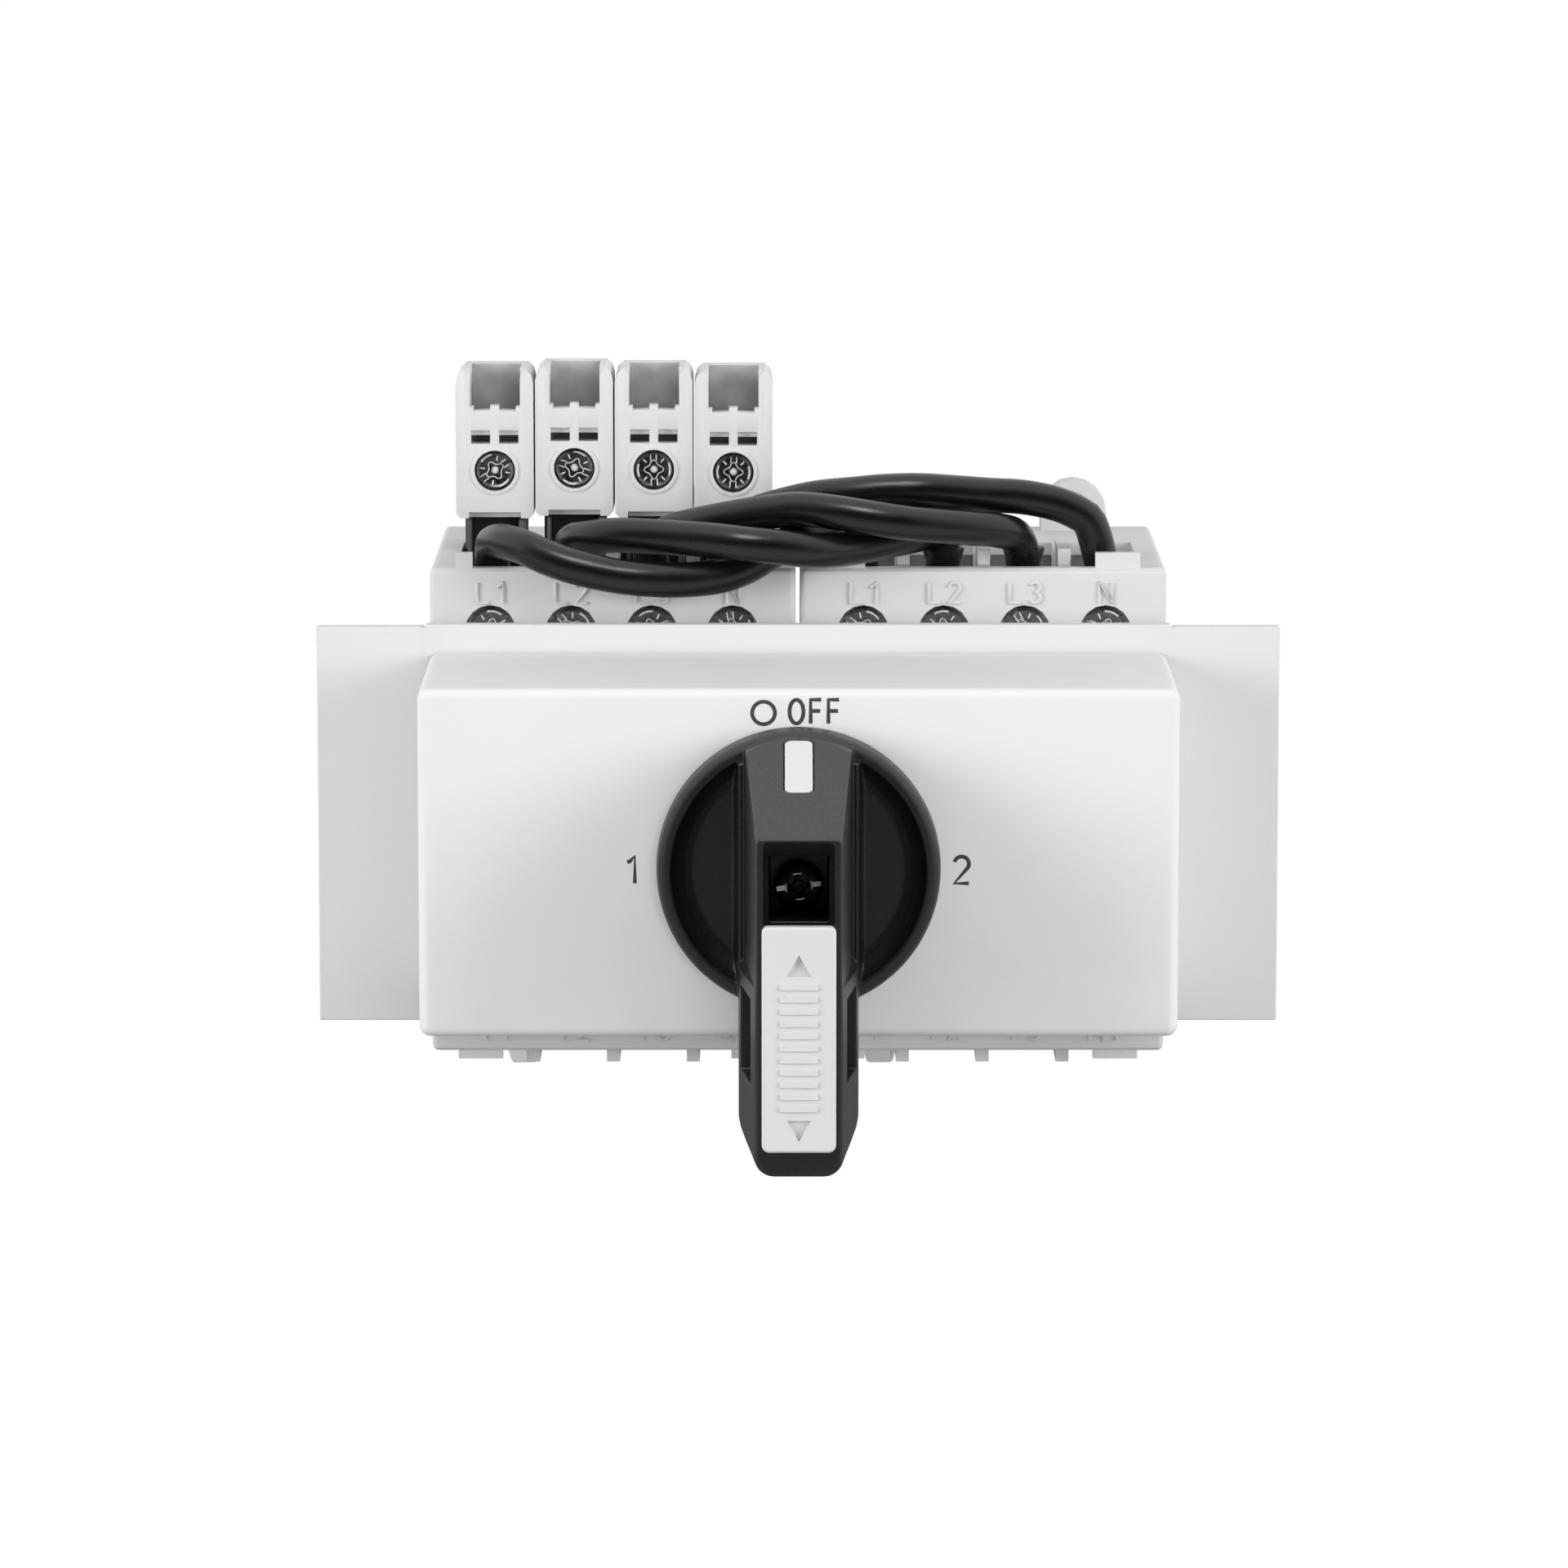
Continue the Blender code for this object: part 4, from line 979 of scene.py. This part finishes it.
# Characters as strokes, with the capital height as 1: their width and their lines
GLYPHS = {
    "L": (0.55, [[(0.0, 1.0), (0.0, 0.0), (0.55, 0.0)]]),
    "T": (0.62, [[(0.0, 1.0), (0.62, 1.0)], [(0.31, 1.0), (0.31, 0.0)]]),
    "N": (0.62, [[(0.0, 0.0), (0.0, 1.0), (0.62, 0.0), (0.62, 1.0)]]),
    "F": (0.44, [[(0.0, 0.0), (0.0, 1.0), (0.44, 1.0)], [(0.0, 0.53), (0.4, 0.53)]]),
    "O": (0.58, [arc((0.29, 0.5), 0.29, 0, 360, 32, 1.72)]),
    "1": (0.3, [[(0.0, 0.78), (0.12, 0.84), (0.28, 1.0), (0.28, 0.0)]]),
    "2": (0.54, [[*arc((0.27, 0.73), 0.27, 165, -35), (0.0, 0.0), (0.54, 0.0)]]),
    "3": (0.54, [[*arc((0.27, 0.755), 0.245, 150, -80), *arc((0.27, 0.265), 0.265, 85, -150)]]),
}


def strokes(text, place, height, stroke, gap=0.3):
    """Characters as round strokes, centred on the place's X and standing on its Z."""
    curve = bpy.data.curves.new("letters", "CURVE")
    curve.dimensions = "3D"
    curve.bevel_depth = stroke / 2 * MM
    curve.bevel_resolution = 3
    curve.use_fill_caps = True
    total = sum(GLYPHS[letter][0] for letter in text) + gap * (len(text) - 1)
    left = -total / 2
    for letter in text:
        width, lines = GLYPHS[letter]
        for line in lines:
            spline = curve.splines.new("POLY")
            spline.points.add(len(line) - 1)
            for knot, (a, b) in zip(spline.points, line):
                along = place[0] + (left + a) * height
                knot.co = (along * MM, place[1] * MM, (place[2] + b * height) * MM, 1.0)
        left += width + gap
    made = bpy.data.objects.new("letters", curve)
    bpy.context.scene.collection.objects.link(made)
    return made


def printed(text, place, height, stroke):
    """Strokes pressed flat, as ink on the face."""
    shape = strokes(text, (place[0], 0.0, place[1]), height, stroke)
    graph = bpy.context.evaluated_depsgraph_get()
    mesh = bpy.data.meshes.new_from_object(shape.evaluated_get(graph))
    bpy.data.objects.remove(shape)
    mesh.transform(Matrix.Diagonal((1.0, PRINT_THINNING, 1.0, 1.0)))
    mesh.transform(Matrix.Translation(Vector((0.0, COVER_FRONT * MM, 0.0))))
    made = bpy.data.objects.new("print", mesh)
    bpy.context.scene.collection.objects.link(made)
    return made


def make_printing():
    for name, text, place, height in PRINTS:
        add_piece(printed(text, place, height, PRINT_STROKE), name, "housing", "ink")
    mark = ring(*PRINT_RING_RADII, (COVER_FRONT - 0.015, COVER_FRONT + 0.1), PRINT_RING_PLACE)
    add_piece(mark, "print_ring", "housing", "ink")


def make_raised_letters():
    for label_side, side in SIDES.items():
        for names, z in LETTER_ROWS:
            for offset, name in zip(POLE_OFFSETS, names):
                place = (side * MODULE_X + offset, MODULE_FRONT - LETTER_RELIEF, z)
                made = strokes(name, place, LETTER_HEIGHT, LETTER_STROKE, LETTER_GAP)
                add_piece(made, f"{label_side}_letters_{name}", "housing", "housing")


def make_terminal_screws():
    turns = TERMINAL_SCREW_TURNS
    size = (TERMINAL_SCREW_RADIUS, TERMINAL_SCREW_FRONT)
    for label_side, side in SIDES.items():
        for end, names in ((1, TOP_NAMES), (-1, BOTTOM_NAMES)):
            for index, (offset, name) in enumerate(zip(POLE_OFFSETS, names)):
                centre = (side * MODULE_X + offset, end * TERMINAL_SCREW_Z)
                turn = turns[(index + 2 * side + 2 * end) % len(turns)]
                head = screw_head(*size, turn, centre)
                # Each head takes the darker zinc: painted shade of its bore
                add_piece(head, f"{label_side}_screw_head_{name}", "housing", "painted_shade_zinc")
                # Painted highlights on the head's edges
                marks = painted_screw_highlights(*size, turn, centre)
                add_piece(marks, f"{label_side}_screw_marks_{name}", "housing", "painted_edge_highlight")


# ---------------------------------------------------------------------------------------------
# Extension terminals
# ---------------------------------------------------------------------------------------------


def extension_shell():
    half = EXTENSION_HALF_WIDTH
    bottom, top = EXTENSION_BOTTOM, EXTENSION_TOP
    front, back = EXTENSION_FRONT, EXTENSION_BACK
    outline = [
        (-half, bottom + 0.5), (-half + 0.5, bottom), (half - 0.5, bottom), (half, bottom + 0.5),
        (half, top - 1.5), (half - 0.25, top - 0.6), (half - 0.9, top),
        (-half + 0.9, top), (-half + 0.25, top - 0.6), (-half, top - 1.5),
    ]
    shell = prism(outline, front, back)
    inner_front = front + EXTENSION_WALL
    shoulder = EXTENSION_SHOULDER
    notch = [
        (-2.45, 44.25), (-0.5, 44.35), (-0.5, 44.85), (0.5, 44.85), (0.5, 44.35), (2.45, 44.25),
        (2.45, shoulder), (2.95, shoulder), (2.95, top - 1.0), (3.45, top - 0.35), (3.45, top + 0.5),
        (-3.45, top + 0.5), (-3.45, top - 0.35), (-2.95, top - 1.0), (-2.95, shoulder), (-2.45, shoulder),
    ]
    through = (front - 0.5, inner_front + 0.1)
    recess = (front - 0.5, front + 0.9)
    cut(
        shell,
        prism(notch, *through),
        block((-2.9, 2.9), (inner_front, -10.4), (34.0, top + 0.5)),
        block((0.5, 2.75), through, (40.45, 41.4)),
        block((-2.75, -0.5), through, (40.45, 41.4)),
        block((0.5, 2.75), recess, (40.45, 42.05)),
        block((-2.75, -0.5), recess, (40.45, 42.05)),
        rod(2.36, (front - 1.0, inner_front + 0.1), (0.0, EXTENSION_SCREW_Z)),
        block((-2.8, 2.8), (-12.3, -10.4), (bottom - 0.5, 34.5)),
        block((-3.0, 3.0), (front - 0.5, front + 1.4), (bottom - 0.5, bottom + 0.7)),
    )
    soften(shell, 0.16)
    rim = ring(2.37, 2.75, (front - 0.16, front + 0.3), (0.0, EXTENSION_SCREW_Z))
    return join(shell, soften(rim, 0.07))


def extension_plug():
    body = block((-3.6, 3.6), (-19.3, -10.8), (22.6, 31.5))
    cut(body, block((-2.75, 2.75), (-20.0, -12.0), (21.0, 33.0)))
    cut(body, block((-3.75, -3.2), (-19.5, -15.5), (21.0, 33.0)))
    soften(body, 0.12)
    return join(body, block((-2.5, 2.5), (-12.0, -10.8), (30.5, 43.0)))


def make_extensions():
    size = (EXTENSION_SCREW_RADIUS, EXTENSION_SCREW_FRONT)
    centre = (0.0, EXTENSION_SCREW_Z)
    rows = zip(POLE_OFFSETS, EXTENSION_STAGGER, EXTENSION_SCREW_TURNS)
    for number, (offset, rise, turn) in enumerate(rows, start=1):
        move = Matrix.Translation(Vector((offset - MODULE_X, 0.0, rise)) * MM)
        shell = extension_shell()
        shell.data.transform(move)
        add_piece(shell, f"extension_shell_{number}", "housing", "extension",
                  [f"extension_housing_{number}"], angle=30)
        plug = extension_plug()
        plug.data.transform(move)
        add_piece(plug, f"extension_leg_{number}", "housing", "plug",
                  [f"extension_plug_{number}"])
        screw = screw_head(*size, turn, centre)
        join(screw, rod(1.3, (-18.6, -16.9), centre), block((-2.4, 2.4), (-17.1, -16.5), (35.0, 39.6)))
        screw.data.transform(move)
        # The darker zinc is painted shade of the screw's bore
        add_piece(screw, f"extension_clamp_screw_{number}", "housing", "painted_shade_zinc",
                  [f"extension_screw_{number}"])
        # Painted highlights on the head's edges
        marks = painted_screw_highlights(*size, turn, centre)
        marks.data.transform(move)
        add_piece(marks, f"extension_screw_marks_{number}", "housing", "painted_edge_highlight")
        # A grey sheet on the notch's inner back wall: painted shade on the shell's own plastic
        notch_shade = block((-2.88, 2.88), (-10.75, -10.42), (34.1, 48.9))
        notch_shade.data.transform(move)
        add_piece(notch_shade, f"extension_notch_shade_{number}", "housing", "painted_notch_shade")


# ---------------------------------------------------------------------------------------------
# Rail clip springs
# ---------------------------------------------------------------------------------------------


def make_clip_spring(label, side):
    """A coil under the clip's ear, at one fixed length, though the real one shortens as the clip is pulled
    down.
    """
    per_turn = 20
    middle = Vector((side * MODULE_X + CLIP_OFFSET, CLIP_SPRING_Y, 0.0))
    low = CLIP_SPRING_BOTTOM + CLIP_SPRING_WIRE
    high = CLIP_SPRING_TOP - CLIP_SPRING_WIRE
    count = CLIP_SPRING_TURNS * per_turn
    up = Vector((0.0, 0.0, 1.0))
    rings = []
    for i in range(count + 1):
        angle = 2 * math.pi * i / per_turn
        out = Vector((math.cos(angle), math.sin(angle), 0.0))
        centre = middle + out * CLIP_SPRING_RADIUS + up * (low + (high - low) * i / count)
        rings.append([
            tuple(centre + (out * a + up * b) * CLIP_SPRING_WIRE) for a, b in circle(1.0, sides=8)
        ])
    node = label + "_clip_spring"
    spring = add_piece(loft(rings), label + "_spring", "housing", "spring", [node])
    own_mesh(spring)


# ---------------------------------------------------------------------------------------------
# CAD nodes that stay
# ---------------------------------------------------------------------------------------------

KEPT = {
    "left_housing": "housing", "right_housing": "housing",
    "left_rear_shell": "housing", "right_rear_shell": "housing",
    "left_din_clip": "housing", "right_din_clip": "housing",
    "mechanism_frame": "plate", "left_wing": "plate", "right_wing": "plate",
    "left_rotor": "ivory", "right_rotor": "ivory",
    "left_gear": "ivory", "right_gear": "ivory", "drive_gear": "ivory",
    "left_contact_carrier": "carrier", "right_contact_carrier": "carrier",
    "drive_shaft": "zinc",
}
ROUNDED = {
    "left_housing": 0.22, "right_housing": 0.22, "left_rear_shell": 0.3, "right_rear_shell": 0.3,
    "mechanism_frame": 0.12, "left_wing": 0.12, "right_wing": 0.12,
    "left_din_clip": 0.25, "right_din_clip": 0.25,
}


def round_node(node, width):
    weld = node.modifiers.new("weld", "WELD")
    weld.merge_threshold = 0.001 * MM
    bevel = node.modifiers.new("bevel", "BEVEL")
    bevel.width = width * MM
    bevel.segments = 2
    bevel.limit_method = "ANGLE"
    bevel.angle_limit = math.radians(40)
    bevel.harden_normals = True


def finish_kept_nodes():
    for name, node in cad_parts.items():
        if "terminal" in name or "mechanism_screw" in name:
            finish = "zinc"
        else:
            finish = KEPT.get(name)
        if finish:
            node.data.materials.clear()
            node.data.materials.append(FINISH[finish])
        if name in ROUNDED:
            round_node(node, ROUNDED[name])


# ---------------------------------------------------------------------------------------------
# Studio
# ---------------------------------------------------------------------------------------------


def make_floor():
    size = FLOOR_HALF_SIZE
    height = CAD_BOUNDS[0][2] / MM - FLOOR_DROP
    bm = bmesh.new()
    corners = [(-size, -size), (size, -size), (size, size), (-size, size)]
    bm.faces.new([bm.verts.new(Vector((x, y, height)) * MM) for x, y in corners])
    floor = add_mesh(bm)
    floor.name = "floor"
    floor.data.materials.append(floor_material())


def map_range(tree, value, from_range, to_range):
    node = tree.nodes.new("ShaderNodeMapRange")
    node.interpolation_type = "SMOOTHSTEP"
    for name, number in zip(("From Min", "From Max", "To Min", "To Max"), (*from_range, *to_range)):
        node.inputs[name].default_value = number
    tree.links.new(value, node.inputs["Value"])
    return node.outputs["Result"]


def multiply(tree, first, second):
    node = tree.nodes.new("ShaderNodeMath")
    node.operation = "MULTIPLY"
    tree.links.new(first, node.inputs[0])
    tree.links.new(second, node.inputs[1])
    return node.outputs["Value"]


def make_world():
    """A white tent, brightest overhead, with a dark opening in front; it shows as plain white.

    Glossy faces mirror it as evenly bright around a wider opening.
    """
    world = bpy.data.worlds.new("studio")
    world.use_nodes = True
    tree = world.node_tree
    place = tree.nodes.new("ShaderNodeTexCoord")
    axes = tree.nodes.new("ShaderNodeSeparateXYZ")
    tree.links.new(place.outputs["Generated"], axes.inputs["Vector"])
    overhead = map_range(tree, axes.outputs["Z"], (-0.7, 0.9), (0.3, 0.66))
    opening = map_range(tree, axes.outputs["Y"], (-0.97, -0.6), (0.02, 1.0))
    mirrored = map_range(tree, axes.outputs["Y"], (-0.85, -0.2), (0.005, 1.05))
    path = tree.nodes.new("ShaderNodeLightPath")
    choice = tree.nodes.new("ShaderNodeMix")
    tree.links.new(path.outputs["Is Glossy Ray"], choice.inputs["Factor"])
    tree.links.new(multiply(tree, overhead, opening), choice.inputs["A"])
    tree.links.new(mirrored, choice.inputs["B"])
    background = tree.nodes["Background"]
    background.inputs["Color"].default_value = (1.0, 1.0, 1.0, 1.0)
    tree.links.new(choice.outputs["Result"], background.inputs["Strength"])
    white = tree.nodes.new("ShaderNodeBackground")
    white.inputs["Color"].default_value = (1.0, 1.0, 1.0, 1.0)
    show_white(tree, background.outputs["Background"], white.outputs["Background"], "World Output")
    bpy.context.scene.world = world
    bpy.context.scene.view_settings.view_transform = "Standard"


def add_light(name, place, size, power, sheen_only):
    """A square light aimed at the object's middle: it either lights matt faces or shows in glossy ones."""
    data = bpy.data.lights.new(name, "AREA")
    data.shape = "SQUARE"
    data.size = size * MM
    data.energy = power
    light = bpy.data.objects.new(name, data)
    light.visible_glossy = sheen_only
    light.visible_diffuse = not sheen_only
    light.location = Vector(place) * MM
    aim = Vector(CAMERA_TARGET) * MM - light.location
    light.rotation_euler = aim.to_track_quat("-Z", "Y").to_euler()
    bpy.context.scene.collection.objects.link(light)


def make_lights():
    for light in LIGHTS:
        add_light(*light)


make_camera()
for wire_name in WIRE_ROUTES:
    add_wire(wire_name)
make_ferrules()
make_knob()
make_insert()
make_lock_slider()
make_handle_screw()
make_cover()
make_seams()
make_printing()
make_raised_letters()
make_terminal_screws()
make_extensions()
for module, module_side in SIDES.items():
    make_clip_spring(module, module_side)
finish_kept_nodes()
make_floor()
make_world()
make_lights()
